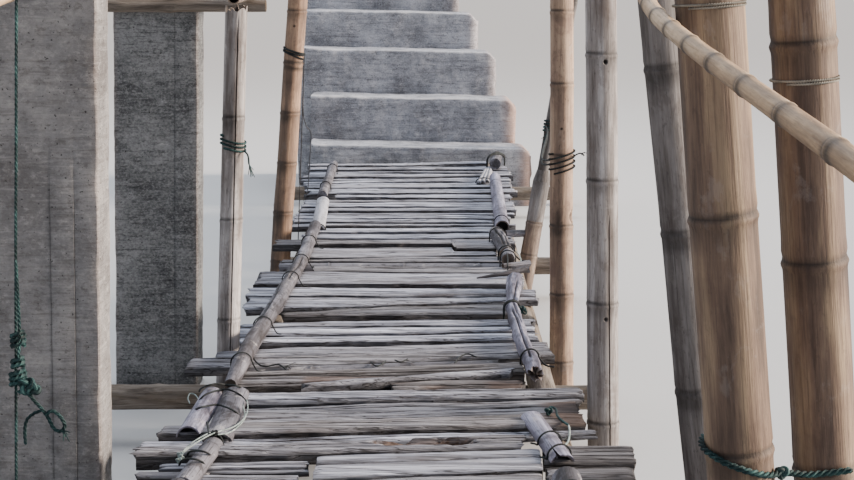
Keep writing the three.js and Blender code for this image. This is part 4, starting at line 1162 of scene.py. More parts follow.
def brace():
    """The sloping brace: a thick foot, a stretch that narrows, and a thinner pole above the split."""
    y = middle_y("brace_foot")

    def stem(piece, bottom, top, radii, rings, seed, **details):
        def wear_and_shade(s, angle):
            """Painted shade, as the brace stands in the shadow of the fifth post; darker still from the
            split to the lashing.
            """
            return 0.42 + 0.28 * ease(0.45, 0.53, bottom + s) * (1 - ease(0.88, 1.05, bottom + s))

        line = [(BRACE["x"] + BRACE["slope"] * (z - DECK_TOP), y, z) for z in (bottom, top)]
        # Every stretch above the lowest takes a low tone and the painted shade
        cane(piece, Path(line, up=AWAY, step=0.05), *radii, rings, seed,
             **{"tone": 0.1, "grime": wear_and_shade, **details})

    ring, neck, split, foot_radius, pole_radius = [
        BRACE[key] for key in ("ring", "neck", "split", "foot", "pole")]
    foot = Piece("brace_foot_cane", TAN_CANE, GREY_CANE)
    closed = {"material": 1, "open_ends": (False, False)}
    stem(foot, 0, ring, (foot_radius, foot_radius - 0.001), [0.21, ring - 0.012], 530, tone=0.5, grime=None,
         open_ends=(True, False))
    stem(foot, ring, neck, (foot_radius - 0.001, foot_radius - 0.001), [], 532, **closed)
    stem(foot, neck, split, (foot_radius - 0.001, pole_radius + 0.001), [], 533, **closed)
    foot.build("tan_cane", "brace_foot")
    pole = Piece("brace_pole_cane", GREY_CANE)
    stem(pole, split, BRACE["top"], (pole_radius, pole_radius - 0.002), [0.17, 0.46, 0.75, 1.04], 531)
    pole.build("grey_cane", "brace_pole")


poles()
brace()

# Concrete: pillars, stair and sill
PILLAR = dict(width=0.298, depth=0.137, top=2.130, slope=0.031, foot_x=-0.889, corner=0.004)
PILLAR_FRONTS = {"pillar_near": 3.650, "pillar_far": 5.250}
PILLAR_SEAMS = {"pillar_near": (0.028, 0.088), "pillar_far": (0.067,)}


def pillar(name, front, seed):
    """A square concrete post with worn corners and the seams of its casting boards."""
    piece = Piece(name + "_block", PILLAR_STONE if name == "pillar_near" else FAR_PILLAR_STONE)
    half_w, half_d, corner = PILLAR["width"] / 2, PILLAR["depth"] / 2, PILLAR["corner"]
    seams = PILLAR_SEAMS[name]
    rim = np.array([1.0, 1.6])
    across = merged(np.linspace(-half_w + corner, half_w - corner, 22), corner * rim - half_w,
                    half_w - corner * rim, *[[c - 0.0015, c, c + 0.0015] for c in seams])
    deep = merged(np.linspace(-half_d + corner, half_d - corner, 9), corner * rim - half_d,
                  half_d - corner * rim)
    outline = [(u, -half_d) for u in across] + [(half_w, v) for v in deep]
    outline += [(u, half_d) for u in across[::-1]] + [(-half_w, v) for v in deep[::-1]]
    outline = np.array(outline)
    z = np.linspace(0, PILLAR["top"], 150)[:, None]
    x, y = outline[:, 0][None, :], outline[:, 1][None, :]
    on_front = np.abs(np.abs(y) - half_d) < 1e-6
    chip = 0.010 * np.maximum(0, noise(z * 9, x * 30, y * 30, seed)) ** 2
    at_corner = bell(np.minimum(half_w - np.abs(x), 1), 0.012) * bell(half_d - np.abs(y), 0.012)
    wear = 1 - np.clip(at_corner * (0.008 + 5 * chip), 0, 0.03)
    rough = 0.0012 * noise(x * 40, z * 40, y * 40, seed) + 0.0008 * noise(x * 9, z * 160, y * 9, seed)
    shown = 0.8 - 0.8 * ease(0.85, 1.15, z) if name == "pillar_near" else 0.6 + 0 * z
    groove = sum(bell(x - c, 0.0013) for c in seams) * on_front * shown
    lift = sum(0.0016 * ease(c - 0.001, c + 0.001, x) * (-1) ** k for k, c in enumerate(seams))
    lift = lift * on_front * shown
    scale_y = wear * (1 + (rough + lift - 0.003 * groove) / half_d * on_front)
    scale_x = wear * (1 + rough / half_w * ~on_front)
    u, v = x * scale_x, y * scale_y
    dark = 0.7 * groove + 0.35 * (1 - ease(0.0, 0.10, z))
    if name == "pillar_far":
        # Painted shade on the upper part of the far pillar
        dark = dark + 0.25 * ease(1.3, 1.55, z)
        dark = dark + 0.5 * bell(z - 0.98, 0.004) * on_front
    lit = 0.35 * np.clip(at_corner, 0, 1)
    foot_x = PILLAR["foot_x"]
    path = Path([(foot_x, front + half_d, 0),
                 (foot_x + PILLAR["slope"] * PILLAR["top"], front + half_d, PILLAR["top"])],
                up=AWAY, step=0.2)
    sweep(piece, path, z + 0 * x, -u, v, seed, paint(u.shape, 0.5 + 0 * u, dark, 0.3 * lit))
    piece.build("pillar_concrete", name)


for number, (pillar_name, pillar_front) in enumerate(PILLAR_FRONTS.items()):
    pillar(pillar_name, pillar_front, 600 + number)

STAIR = dict(
    front=9.240, tread=0.280,
    tops=(0.375, 0.650, 0.930, 1.165, 1.430),
    lefts=(-0.655, -0.668, -0.760, -0.800, -0.830),
    rights=(0.735, 0.650, 0.534, 0.420, 0.300),
    side_fall=0.021, round=0.060, nose=0.014,
)


def step_block(i):
    """A cast step: rough front, worn nose, a tread that falls to the right, and a broken left corner."""
    left, right, seed = STAIR["lefts"][i], STAIR["rights"][i], 650 + i
    front = STAIR["front"] + i * (STAIR["tread"] + 0.0003)
    back = front + STAIR["tread"]
    x = np.linspace(left, right, int((right - left) / 0.012))[:, None]
    bend = np.clip(x - (right - STAIR["round"]), 0, STAIR["round"] * 0.999)
    corner = STAIR["round"] - np.sqrt(STAIR["round"] ** 2 - bend ** 2)
    broken = 0.02 * (1 - ease(0, 0.05, x - left)) * (0.6 + 0.4 * noise(x * 40, seed, 0.0, seed))
    near = front + corner + broken + 0.003 * (1 + noise(x * 5, seed, 1.0, seed))
    drop = 0.05 * ease(right - 0.08, right, x) ** 1.5
    height = STAIR["tops"][i] - STAIR["side_fall"] * x - drop + 0.003 * noise(x * 4, seed, 3.0, seed)
    rise = np.concatenate([np.linspace(0, 0.55, 6), np.linspace(0.6, 1.0, 22)])[None, :]
    wear_and_shade = 0.5 + 0.5 * noise(x * 7, 1.0, 2.0, seed)
    face_z = rise * (height - STAIR["nose"])
    face_y = near + 0.0035 * noise(x * 6, face_z * 22, 1.0, seed)
    face_y = face_y + 0.0018 * noise(x * 9, face_z * 80, 2.0, seed)
    face_y = face_y - 0.003 * noise(x * 28, face_z * 28, 6.0, seed)
    turn = np.linspace(0.2, 1.0, 5)[None, :] * math.pi / 2
    radius = STAIR["nose"] * (0.6 + 0.8 * wear_and_shade)
    nose_z = height - radius + radius * np.sin(turn)
    nose_y = face_y[:, -1:] + radius * (1 - np.cos(turn))
    tread_y = nose_y[:, -1:] + np.linspace(0.06, 1, 12)[None, :] * (back - nose_y[:, -1:])
    tread_z = height + 0.0025 * noise(x * 12, tread_y * 12, 4.0, seed)
    y = np.hstack([face_y, nose_y, tread_y, back + 0 * x, back + 0 * x])
    z = np.hstack([face_z, nose_z, tread_z, 0.6 * height, 0 * height])
    inset = 0.012 * (0.5 + 0.5 * noise(y * 20, z * 20, 3.0, seed))
    along = (x - left) / (right - left)
    all_x = x + inset * (1 - ease(0, 0.02, along)) - inset * ease(0.98, 1, along)
    # Painted shade towards the foot of each riser, with darker blotches
    dark = 0.25 * (1 - ease(0.0, 0.3, z)) + 0.3 * np.maximum(0, noise(all_x * 5, z * 9, y * 9, seed))
    # The nose is painted paler: partly worn concrete, partly a painted highlight
    edge = bell(z - height, 0.012) * bell(y - nose_y[:, :1], 0.03)
    tone = 0.5 + 0.45 * edge * (0.45 + 0.75 * noise(all_x * 14, z * 4, 8.0, seed))
    pink = (0.7 if i < 2 else 0.15) * ease(right - 0.12, right - 0.02, all_x)
    middle = float(y.mean())
    piece = Piece(f"step_{i + 1}_block", STEP_STONE)
    path = Path([(left, middle, 0), (right, middle, 0)], step=0.3)
    sweep(piece, path, all_x - left, middle - y, z, seed, paint(z.shape, tone, dark - 0.2 * edge, pink))
    piece.build("step_concrete", f"step_{i + 1}")


for number in range(len(STAIR["tops"])):
    step_block(number)

SILL = dict(front=SILL_FRONT, back=1.200, ledge=0.940, half_width=0.780, ledge_top=0.1847)


def sill():
    piece = Piece("near_sill_block", SILL_STONE)
    half = SILL["half_width"]
    x = np.linspace(-half, half, 120)[:, None]
    bevel = 0.010
    profile = [(SILL["front"], 0.0), (SILL["front"], 0.1), (SILL["front"], 0.2),
               (SILL["front"], DECK_TOP - bevel), (SILL["front"] + bevel, DECK_TOP)]
    profile += [(SILL["front"] + t, DECK_TOP) for t in np.linspace(0.04, 0.30, 9)]
    profile += [(SILL["ledge"], DECK_TOP - bevel), (SILL["ledge"], SILL["ledge_top"]),
                (SILL["back"] - bevel, SILL["ledge_top"]), (SILL["back"], SILL["ledge_top"] - bevel),
                (SILL["back"], 0.0)]
    shape = np.array(profile)
    y, z = shape[:, 0][None, :] + 0 * x, shape[:, 1][None, :] + 0 * x
    y = y + 0.0025 * noise(x * 11, z * 30, y * 9, 700)
    z = np.maximum(z + 0.0020 * noise(x * 12, y * 12, 5.0, 700) * (z > 0.01), 0)
    middle = 0.9
    path = Path([(-half, middle, 0), (half, middle, 0)], step=0.3)
    sweep(piece, path, x + half + 0 * y, middle - y, z, 700, paint(z.shape, 0.5, 0.15))
    piece.build("sill_concrete", "near_sill")


sill()

# Kerbs of cane and branch, and their ties. Points of their lines are in millimetres.
ON_DECK = 0.0003
NEAR_END_SHUT = (False, True)
BOTH_OPEN = (True, True)


def laid(points, radius=None, step=0.05):
    """A line on the walkway, at the middle of a round stem of this radius or at the foot of a split one."""
    height = DECK_TOP if radius is None else DECK_TOP + radius + ON_DECK
    return Path([(x / 1000, y / 1000, height) for x, y in points], step=step)


# Round canes: line, radius that it rests on, radii of its ends, rings, seed, tone, which ends are open,
# radius of its cords, and ties as (place, seed, how many turns)
ROUND_KERBS = {
    "kerb_left_1": (((-455, 7630), (-470, 8780)), 0.026, (0.0255, 0.0245), (0.16, 0.35, 0.55, 0.75, 0.95),
                    710, 0.75, NEAR_END_SHUT, 0.0024, ((0.3, 10, 1), (0.98, 10, 1))),
    "kerb_left_7": (((-480, 1050), (-490, 2300), (-478, 3320)), 0.030, (0.030, 0.028),
                    np.arange(0.2, 2.2, 0.34), 716, 0.6, BOTH_OPEN, 0.0026,
                    ((0.3, 15, 2), (1.05, 52, 2), (1.8, 90, 2), (2.15, 107, 2))),
    "kerb_right_7": (((425, 1050), (440, 2300), (430, 3360)), 0.037, (0.037, 0.036),
                     np.arange(0.25, 2.2, 0.36), 736, 0.6, BOTH_OPEN, 0.0026,
                     ((0.35, 21, 2), (1.1, 66, 2), (1.9, 114, 2), (2.2, 132, 2))),
}
# Half canes with no ties of their own: material, slot, line, radius, wall, seed, rings, tone and how far
# the ends are torn
HALF_KERBS = {
    "kerb_left_4": (HALF_CANE, "kerb_half_cane", ((-530, 3785), (-519, 4150)), 0.0325, 0.005, 713, (0.33,),
                    0.05, 0.002),
    "kerb_left_6": (KERB, "kerb_cane", ((-483, 3405), (-453, 3712)), 0.028, 0.007, 715, (0.26,), 0.95,
                    0.003),
}


def round_kerb(name):
    line, radius, radii, rings, seed, tone, open_ends, tie_radius, ties = ROUND_KERBS[name]
    piece = Piece(name + "_cane", KERB, DARK_CORD)
    path = laid(line, radius)
    cane(piece, path, *radii, rings, seed, sides=18, tone=tone, open_ends=open_ends)
    for s, tie_seed, turns in ties:
        tie_over(piece, path, s, radius, tie_radius, tie_seed, turns=turns)
    piece.build("kerb_cane", name)


def half_kerb(name):
    material, slot, line, radius, wall, seed, rings, tone, jag = HALF_KERBS[name]
    piece = Piece(name + "_cane", material)
    split_cane(piece, laid(line), radius, wall, seed, rings, jag=jag, tone=tone)
    piece.build(slot, name)


def kerb_left():
    round_kerb("kerb_left_1")

    piece = Piece("kerb_left_2_cane", PALE_CANE, DARK_CORD)
    path = laid([(-414, 6790), (-450, 7610)])
    split_cane(piece, path, 0.032, 0.008, 711, (0.06, 0.76), tone=1.0, flatten=0.8)
    tie_over(piece, path, 0.004, 0.027, 0.0030, 5, width=1.2)
    piece.build("kerb_cane", "kerb_left_2")

    piece = Piece("kerb_left_3_branch", KERB, DARK_CORD)
    path = laid([(-472, 4185), (-470, 4400), (-468, 4590), (-454, 4930), (-441, 5277), (-430, 5640),
                 (-419, 5984), (-421, 6400), (-424, 6760)], 0.027, 0.03)
    branch(piece, path, 0.0275, 0.0265, 712, sides=20, rough=0.08, knots=9, tone=0.45,
           girths=(0.64, 0.96, 1.0, 1.0, 0.97, 1.03, 0.97, 1.0, 1.02, 0.98, 1.0, 0.97, 1.0),
           cracks=((2.2, 0.55, 1.55, 0.007, 0.010), (1.2, 1.30, 1.75, 0.005, 0.006)))
    for s, skew in ((2.185, 0.2), (1.765, 0.3), (1.435, 0.35), (0.705, 0.3), (0.245, 0.35)):
        tie_over(piece, path, s, 0.0285, 0.0022, int(s * 50), skew=skew, tail=0.03)
    piece.build("kerb_cane", "kerb_left_3")

    half_kerb("kerb_left_4")

    piece = Piece("kerb_left_5_slat", KERB, DARK_CORD, PALE_CORD)
    split_cane(piece, laid([(-449, 3748), (-450, 3950), (-455, 4190)]), 0.039, 0.009, 714, tone=0.7,
               flatten=0.60, jag=0.008)
    left_group_ties(piece)
    piece.build("kerb_cane", "kerb_left_5")

    half_kerb("kerb_left_6")
    round_kerb("kerb_left_7")


# Cords round the left half cane, the slat and the piece in front of them: points of the picture, with
# heights over the walkway in millimetres. First the dark ones, then the loose pale one.
DARK_TIES = (
    ((199, 392, 0), (201, 389, 16), (207, 386, 34), (217, 384, 35), (226, 385, 26), (236, 386, 27),
     (243, 389, 14)),
    ((195, 408, 0), (197, 404, 16), (204, 396, 34), (213, 392, 32), (222, 390, 24), (229, 390, 27),
     (240, 395, 22), (247, 402, 6)),
    ((190, 416, 0), (192, 412, 16), (200, 408, 35), (209, 406, 32), (217, 405, 25), (225, 407, 27),
     (234, 411, 24), (240, 416, 8)),
    ((198, 437, 2), (202, 434, 20), (208, 433, 30), (216, 433, 33), (221, 438, 22), (223, 443, 8),
     (224, 449, 3)),
    ((207, 422, 30), (208, 428, 27), (209, 434, 34)),
    ((187, 456, 2), (190, 452, 22), (198, 451, 32), (207, 453, 28), (212, 457, 4)),
    ((179, 466, 2), (182, 461, 20), (188, 459, 32), (197, 460, 32), (203, 463, 22), (206, 468, 4)),
)
PALE_TIES = (
    ((247, 400, 12), (248, 408, 6), (246, 416, 6), (240, 423, 10), (232, 428, 26), (222, 431, 28),
     (215, 433, 34)),
    ((243, 405, 20), (245, 418, 5), (238, 427, 8), (229, 433, 26), (218, 435, 32)),
    ((215, 433, 36), (205, 438, 34), (192, 446, 30), (184, 453, 18), (180, 460, 8)),
    ((214, 431, 36), (204, 436, 34), (191, 444, 28), (183, 452, 16)),
    ((190, 404, 4), (188, 399, 8), (190, 394, 10), (195, 395, 12), (199, 400, 16)),
)


def left_group_ties(piece):
    for k, bits in enumerate(DARK_TIES):
        lifted = [(across, down, lift + 6 if lift > 24 else lift) for across, down, lift in bits]
        cord_seen(piece, lifted, 0.0028, 30 + k)
    for k, bits in enumerate(PALE_TIES):
        cord_seen(piece, [(across, down, lift + 4) for across, down, lift in bits], 0.0018, 40 + k, 2)
    knot_seen(piece, (215, 433, 36), 0.007, 0.0028, 47, 1)
    for k, (across, down) in enumerate(((180, 455), (181, 458), (179, 461))):
        knot_seen(piece, (across, down, 14), 0.007, 0.0026, 48 + k, 2, 1.1 * k)


def kerb_right():
    piece = Piece("kerb_right_1_cane", KERB, DARK_CORD)
    path = laid([(482, 8760), (505, 9110)], 0.033)
    cane(piece, path, 0.0330, 0.0320, [0.12], 730, sides=18, tone=0.8, open_ends=NEAR_END_SHUT)
    tie_over(piece, path, 0.19, 0.033, 0.005, 31, turns=2, gap=0.05, skew=0.9, width=1.4)
    piece.build("kerb_cane", "kerb_right_1")

    piece = Piece("kerb_right_2_strips", PALE_CANE, DARK_CORD)
    for k, (near_x, far_x) in enumerate(((366, 424), (391, 437), (416, 450))):
        split_cane(piece, laid([(near_x, 8165 + 20 * k), (far_x, 8670)]), 0.0125, 0.005, 731 + k, tone=0.7,
                   flatten=1.7, jag=0.02)
    tie_over(piece, laid([(391, 8165), (437, 8670)], step=0.1), 0.10, 0.022, 0.003, 33, width=1.9)
    piece.build("kerb_cane", "kerb_right_2")

    piece = Piece("kerb_right_3_cane", HALF_CANE, DARK_CORD)
    path = laid([(430, 6690), (458, 8205)], 0.032)
    cane(piece, path, 0.0325, 0.0310, [0.09, 0.42, 0.76, 1.27], 732, tone=0.75,
         dents=((math.pi / 2 + 0.1, 0.86, 0.006, 0.006), (math.pi / 2 - 0.2, 0.60, 0.004, 0.005)))
    tie_over(piece, path, 0.13, 0.0325, 0.0022, 34)
    piece.build("kerb_cane", "kerb_right_3")

    piece = Piece("kerb_right_4_branch", KERB, DARK_CORD, PALE_CORD)
    branch(piece, laid([(422, 5985), (423, 6080)], 0.027, 0.02), 0.0275, 0.028, 735, sides=18, rough=0.12,
           tone=0.5)
    path = laid([(420, 6095), (410, 6350), (396, 6570)], 0.029, 0.03)
    branch(piece, path, 0.0290, 0.030, 733, sides=22, rough=0.10, knots=5, tone=0.3,
           cracks=((1.2, 0.0, 0.40, 0.006, 0.009), (1.9, 0.05, 0.45, 0.005, 0.008)))
    tie_over(piece, path, 0.43, 0.031, 0.0024, 36, skew=0.1, tail=0.03)
    tie_over(piece, path, 0.015, 0.030, 0.0030, 37, skew=0.3, tail=0.05)
    tie_over(piece, path, -0.075, 0.029, 0.0026, 38, skew=-0.1)
    cord_seen(piece, ((507, 253, 62), (508, 258, 58), (508, 266, 45), (508, 270, 4)), 0.0026, 39)
    cord_seen(piece, ((516, 251, 30), (520, 256, 16), (521, 262, 6), (517, 264, 4)), 0.0022, 40, 2)
    piece.build("kerb_cane", "kerb_right_4")

    piece = Piece("kerb_right_5_branch", HALF_CANE, DARK_CORD, GREEN_ROPE)
    path = laid([(421, 4300), (416, 4490), (407, 4625), (401, 4840), (395, 5132), (398, 5229), (412, 5420),
                 (429, 5620)], 0.024, 0.03)
    branch(piece, path, 0.0235, 0.025, 734, sides=24, rough=0.15, knots=9, tone=0.4, torn=0.05,
           girths=(0.98, 1.02, 1.0, 1.02, 0.98, 0.93, 0.86, 0.96, 1.10, 1.20),
           cracks=((1.75, 0.10, 0.80, 0.006, 0.010), (1.1, 0.55, 1.25, 0.005, 0.009),
                   (0.6, 0.2, 0.6, 0.004, 0.006)))
    tie_over(piece, path, 0.86, 0.0225, 0.0036, 41, turns=2, gap=0.012, skew=0.25, width=1.1)
    tie_over(piece, path, 0.19, 0.0265, 0.0030, 42, skew=0.2, tail=0.04)
    for k, place in enumerate(((521, 309, 22), (524, 311, 14), (519, 312, 10))):
        knot_seen(piece, place, 0.012, 0.0036, 43 + k, 2, 0.9 * k)
    piece.build("kerb_cane", "kerb_right_5")

    piece = Piece("kerb_right_6_cane", HALF_CANE, DARK_CORD, GREEN_ROPE, PALE_CORD)
    path = laid([(386, 3965), (443, 3590)])
    split_cane(piece, path, 0.031, 0.008, 735, tone=0.0, notches=((1.15, 0.11, 0.10),), jag=0.012,
               flatten=0.66)
    for s, skew in ((0.226, 0.15), (0.333, 0.25)):
        tie_over(piece, path, s, 0.031, 0.0026, int(s * 70), skew=skew, tail=0.02)
    cord_seen(piece, ((548, 411, 8), (551, 407, 14), (556, 409, 12), (558, 416, 8), (563, 421, 6),
                      (569, 425, 8)),
              0.0034, 44, 2)
    cord_seen(piece, ((569, 425, 8), (570, 432, 6), (569, 440, 6), (565, 446, 4)), 0.0026, 46, 3)
    cord_seen(piece, ((552, 436, 6), (558, 439, 8), (563, 440, 6), (568, 437, 6)), 0.0024, 47)
    knot_seen(piece, (549, 411, 12), 0.010, 0.0034, 45, 2)
    piece.build("kerb_cane", "kerb_right_6")

    round_kerb("kerb_right_7")


kerb_left()
kerb_right()

# Handrails
RAIL_RADIUS = 0.0155
LEFT_RAIL_RADIUS = 0.020
RAIL_CLEARANCE = 0.0007
SCAR_ANGLE = 0.84
RAIL_Z = dict(start=1.404, first=1.466, third=1.520, fourth=1.545, fifth=1.580, end=1.590)


def inside_of(name, z, radius):
    """Where a rail lies against the inner side of a post."""
    post = POSTS[name]
    return edge_x(post, z, -math.copysign(1, post["x"]), radius + RAIL_CLEARANCE)


# Painted shade on the underside of each rail
def under_shade(s, angle):
    return 0.42 * bell(round_from(angle, SCAR_ANGLE + math.pi), 1.1) + 0 * s


def rail(name, line, first, spacing, seed, radius=RAIL_RADIUS, material=RAIL_CANE, slot="rail_cane",
         tone=0.4, thin_start=1.0):
    piece = Piece(name + "_cane", material)
    path = Path(line, step=0.03)
    rings = np.arange(first, path.length - 0.03, spacing)
    cane(piece, path, radius * thin_start, radius * 0.97, rings, seed, sides=24, tone=tone, swell=0.09,
         scar=SCAR_ANGLE, grime=under_shade)
    piece.build(slot, name)


def rails():
    first, third, fourth, fifth, last = [RAIL_Z[key]
                                         for key in ("first", "third", "fourth", "fifth", "end")]
    rail("handrail_right_near", [
        (0.415, 0.950, RAIL_Z["start"]), (inside_of("post_right_1", first, RAIL_RADIUS), 2.050, first),
        (inside_of("post_right_3", third, RAIL_RADIUS) + RAIL_CLEARANCE, 2.950, third),
        (inside_of("post_right_4", fourth, RAIL_RADIUS), 4.080, fourth), (0.500, 4.330, fourth),
    ], 0.16, 0.17, 750, tone=0.62, thin_start=0.68)
    lap = fourth + 2 * RAIL_RADIUS + 0.0009
    lap_x = inside_of("post_right_4", lap, RAIL_RADIUS)
    end_x = inside_of("mast_right_end", last, RAIL_RADIUS)
    rail("handrail_right_far", [
        (lap_x - 0.004, 3.850, lap), (lap_x, 4.080, lap), (lap_x - 0.003, 4.330, lap),
        (inside_of("post_right_5", fifth, RAIL_RADIUS), 5.240, fifth), (0.655, 6.700, last),
        (end_x, 9.300, last), (end_x - 0.003, 9.430, last),
    ], 0.2, 0.26, 751)
    inner = PILLAR["foot_x"] + PILLAR["slope"] * third + PILLAR["width"] / 2 - 0.025
    pillar_y = PILLAR_FRONTS["pillar_near"]
    rail("handrail_left_near", [
        (-0.560, 0.950, RAIL_Z["start"]), (inside_of("post_left_near", 1.470, RAIL_RADIUS), 2.050, 1.470),
        (-0.640, 2.900, 1.505), (inner, pillar_y - 0.120, third), (inner, pillar_y - 0.0006, third),
    ], 0.15, 0.24, 752)
    short, far_post = POSTS["post_left_short"], POSTS["post_left_far"]
    z = short["top"] + LEFT_RAIL_RADIUS + 0.0003
    x = axis_x(short, short["top"])
    end_x = inside_of("mast_left_end", 1.5, LEFT_RAIL_RADIUS)
    rail("handrail_left_far", [
        (x, 4.690, z), (x - 0.002, 4.830, z), (-0.520, 5.400, z + 0.002),
        (edge_x(far_post, z, -1, LEFT_RAIL_RADIUS + 0.0003), 6.660, z + 0.005), (-0.620, 8.000, 1.475),
        (end_x, 9.300, 1.5), (end_x + 0.004, 9.430, 1.5),
    ], 0.18, 0.28, 753, LEFT_RAIL_RADIUS, TAN_CANE, "tan_cane")


rails()

# Ropes
ROPE_RADIUS = 0.012
ROPE_PITCH = 0.075
HANGER_RADIUS = 0.006
HANGER_LOOK = 0.0040
HANGER_PITCH = 0.034
HANGER_KNOT = 0.014
LOOP_LENGTH = 0.024
LOOP_LEVEL = dict(near=2.150, end=2.100)
SADDLE_Z = PILLAR["top"] + ROPE_RADIUS + 0.0003
SADDLE_X = PILLAR["foot_x"] + PILLAR["slope"] * PILLAR["top"]
SADDLE_REACH = 0.030
STAY_FOOT = dict(x=0.690, y=0.800, z=DECK_TOP + ROPE_RADIUS)
FAR_STAY_Y = 10.560
LOOP_WALL = 0.018


def hung(start_at, end_at, sag, pieces):
    """Points of a line that sags between two places."""
    shares = np.linspace(0, 1, pieces + 1)[:, None]
    line = np.array(start_at) + (np.array(end_at) - np.array(start_at)) * shares
    return list(line - [0, 0, 4 * sag] * shares * (1 - shares))


def loop_side(post, end, side):
    z = LOOP_LEVEL[end]
    return (axis_x(post, z), post["y"] + side * (girth_radius(post, z) + 0.75 * LOOP_WALL), z)


def step_top(x):
    return STAIR["tops"][-1] - STAIR["side_fall"] * x + ROPE_RADIUS


def point_at(line, y):
    line = np.array(line)
    return tuple(np.interp(y, line[:, 1], line[:, k]) for k in range(3))


def thick_rope(piece, line, seed, up=UP):
    rope(piece, line, ROPE_RADIUS, ROPE_PITCH, seed, up, sides=15)


def post_lashing(piece, post, end, seed):
    """A rope wound tight round a post, one turn above the other."""
    z = LOOP_LEVEL[end]
    girth = girth_radius(post, z) + ROPE_RADIUS * 0.9
    points = coil_round((axis_x(post, z), post["y"], z), girth, 2, 2.0 * ROPE_RADIUS, post["slope"],
                        math.pi * 1.5)
    rope(piece, points, ROPE_RADIUS, ROPE_RADIUS * 6, seed)


def two_turns(count, start_turn=0.0):
    """The angle and the share of the way, step by step, of two turns."""
    return [(start_turn + 4 * math.pi * i / count, i / count) for i in range(count + 1)]


def hanger(piece, line, name, x, seed):
    """A thin rope from the main rope down to a cross pole, with a loop at its foot and a hitch on top."""
    y, r = middle_y(name), TRANSOM_RADIUS + HANGER_RADIUS
    top = point_at(line, y)
    foot = (x, y, TRANSOM_AXIS + r)
    rope(piece, [foot, top], HANGER_LOOK, HANGER_PITCH, seed, AWAY, wander=0.0008)
    around = [(x + LOOP_LENGTH * (t - 0.5), y + r * math.cos(a), TRANSOM_AXIS + r * math.sin(a))
              for a, t in two_turns(32, math.pi / 2)]
    rope(piece, around, HANGER_RADIUS, HANGER_PITCH, seed + 1, ASIDE)
    knot(piece, (foot[0], foot[1] - 0.006, foot[2] + 0.02), HANGER_KNOT, HANGER_RADIUS * 0.8, seed + 2)
    knot(piece, (top[0], top[1], top[2] - 0.03), HANGER_KNOT, HANGER_RADIUS * 0.8, seed + 3)
    r = ROPE_RADIUS + HANGER_RADIUS
    hitch = [(top[0] + r * math.cos(a), top[1] + LOOP_LENGTH * (t - 0.5), top[2] + r * math.sin(a))
             for a, t in two_turns(28)]
    rope(piece, hitch, HANGER_RADIUS, HANGER_PITCH, seed + 4, AWAY)


def rope_left():
    piece = Piece("rope_left_lines", GREEN_ROPE)
    mast, end = POSTS["post_left_near"], POSTS["mast_left_end"]

    def saddle(name, side):
        far_side = PILLAR["depth"] if side > 0 else 0.0
        return (SADDLE_X, PILLAR_FRONTS[name] + far_side + side * SADDLE_REACH, SADDLE_Z)

    line = hung(loop_side(mast, "near", 1), saddle("pillar_near", -1), 0.040, 4)
    line += hung(saddle("pillar_near", 1), saddle("pillar_far", -1), 0.030, 3)
    line += hung(saddle("pillar_far", 1), loop_side(end, "end", -1), 0.110, 7)
    thick_rope(piece, line, 801)
    post_lashing(piece, mast, "near", 802)
    post_lashing(piece, end, "end", 803)
    thick_rope(piece, [(-STAY_FOOT["x"], STAY_FOOT["y"], STAY_FOOT["z"]), loop_side(mast, "near", -1)], 804,
               ASIDE)
    thick_rope(piece, [loop_side(end, "end", 1), (-0.770, FAR_STAY_Y, step_top(-0.770))], 805, ASIDE)
    hanger(piece, line, "transom_2", KNOTTED_X, 810)
    hanger(piece, line, "transom_5", -0.775, 830)
    tension_knot(piece, point_at(line, middle_y("transom_2")))
    piece.build("rope", "rope_left")


# The near left hanger: where its foot stands, and its tension knot. Lumps are (height, radius, turns,
# cord); tails are (height, how far to the right).
KNOTTED_X = -0.885
LUMPS = ((0.668, 0.014, 3, 0.0062), (0.612, 0.012, 2, 0.0066), (0.575, 0.016, 3, 0.0066))
DOUBLED = ((0.86, 0.002), (0.78, 0.007), (0.68, 0.011), (0.62, 0.008))
LONG_TAIL = ((0.545, 0.006), (0.540, 0.030), (0.520, 0.048), (0.502, 0.064), (0.482, 0.078), (0.455, 0.092),
             (0.448, 0.108), (0.462, 0.118), (0.485, 0.106), (0.498, 0.088), (0.488, 0.072))
SHORT_TAIL = ((0.498, 0.062), (0.492, 0.046), (0.478, 0.030), (0.458, 0.024), (0.430, 0.024),
              (0.415, 0.026))


def tension_knot(piece, top):
    """The doubled stretch, the lump of hitches and the loose ends on the near left hanger."""
    foot_z, y = TRANSOM_AXIS + TRANSOM_RADIUS, middle_y("transom_2")

    def at(z, dx, dy=-0.012):
        return (KNOTTED_X + (top[0] - KNOTTED_X) * (z - foot_z) / (top[2] - foot_z) + dx, y + dy, z)

    def strand(places, radius, seed):
        rope(piece, [at(*place) for place in places], radius, HANGER_PITCH, seed, AWAY)

    strand(DOUBLED, HANGER_LOOK, 841)
    for z, radius, turns, cord_radius in LUMPS:
        points = coil_round(at(z, 0.004, 0.0), radius, turns, 0.012, tilt=0.25)
        rope(piece, points, cord_radius, HANGER_PITCH, int(z * 1000), sides=9)
    knot(piece, at(0.560, 0.026), 0.018, 0.0062, 851)
    knot(piece, at(0.552, 0.044), 0.014, 0.0058, 852, tilt=1.2)
    strand(LONG_TAIL, 0.0050, 861)
    strand(SHORT_TAIL, 0.0045, 863)
    frayed_end(piece, at(0.452, 0.104), (0.8, -0.1, -0.3), 0.03, 0.0014, 864)


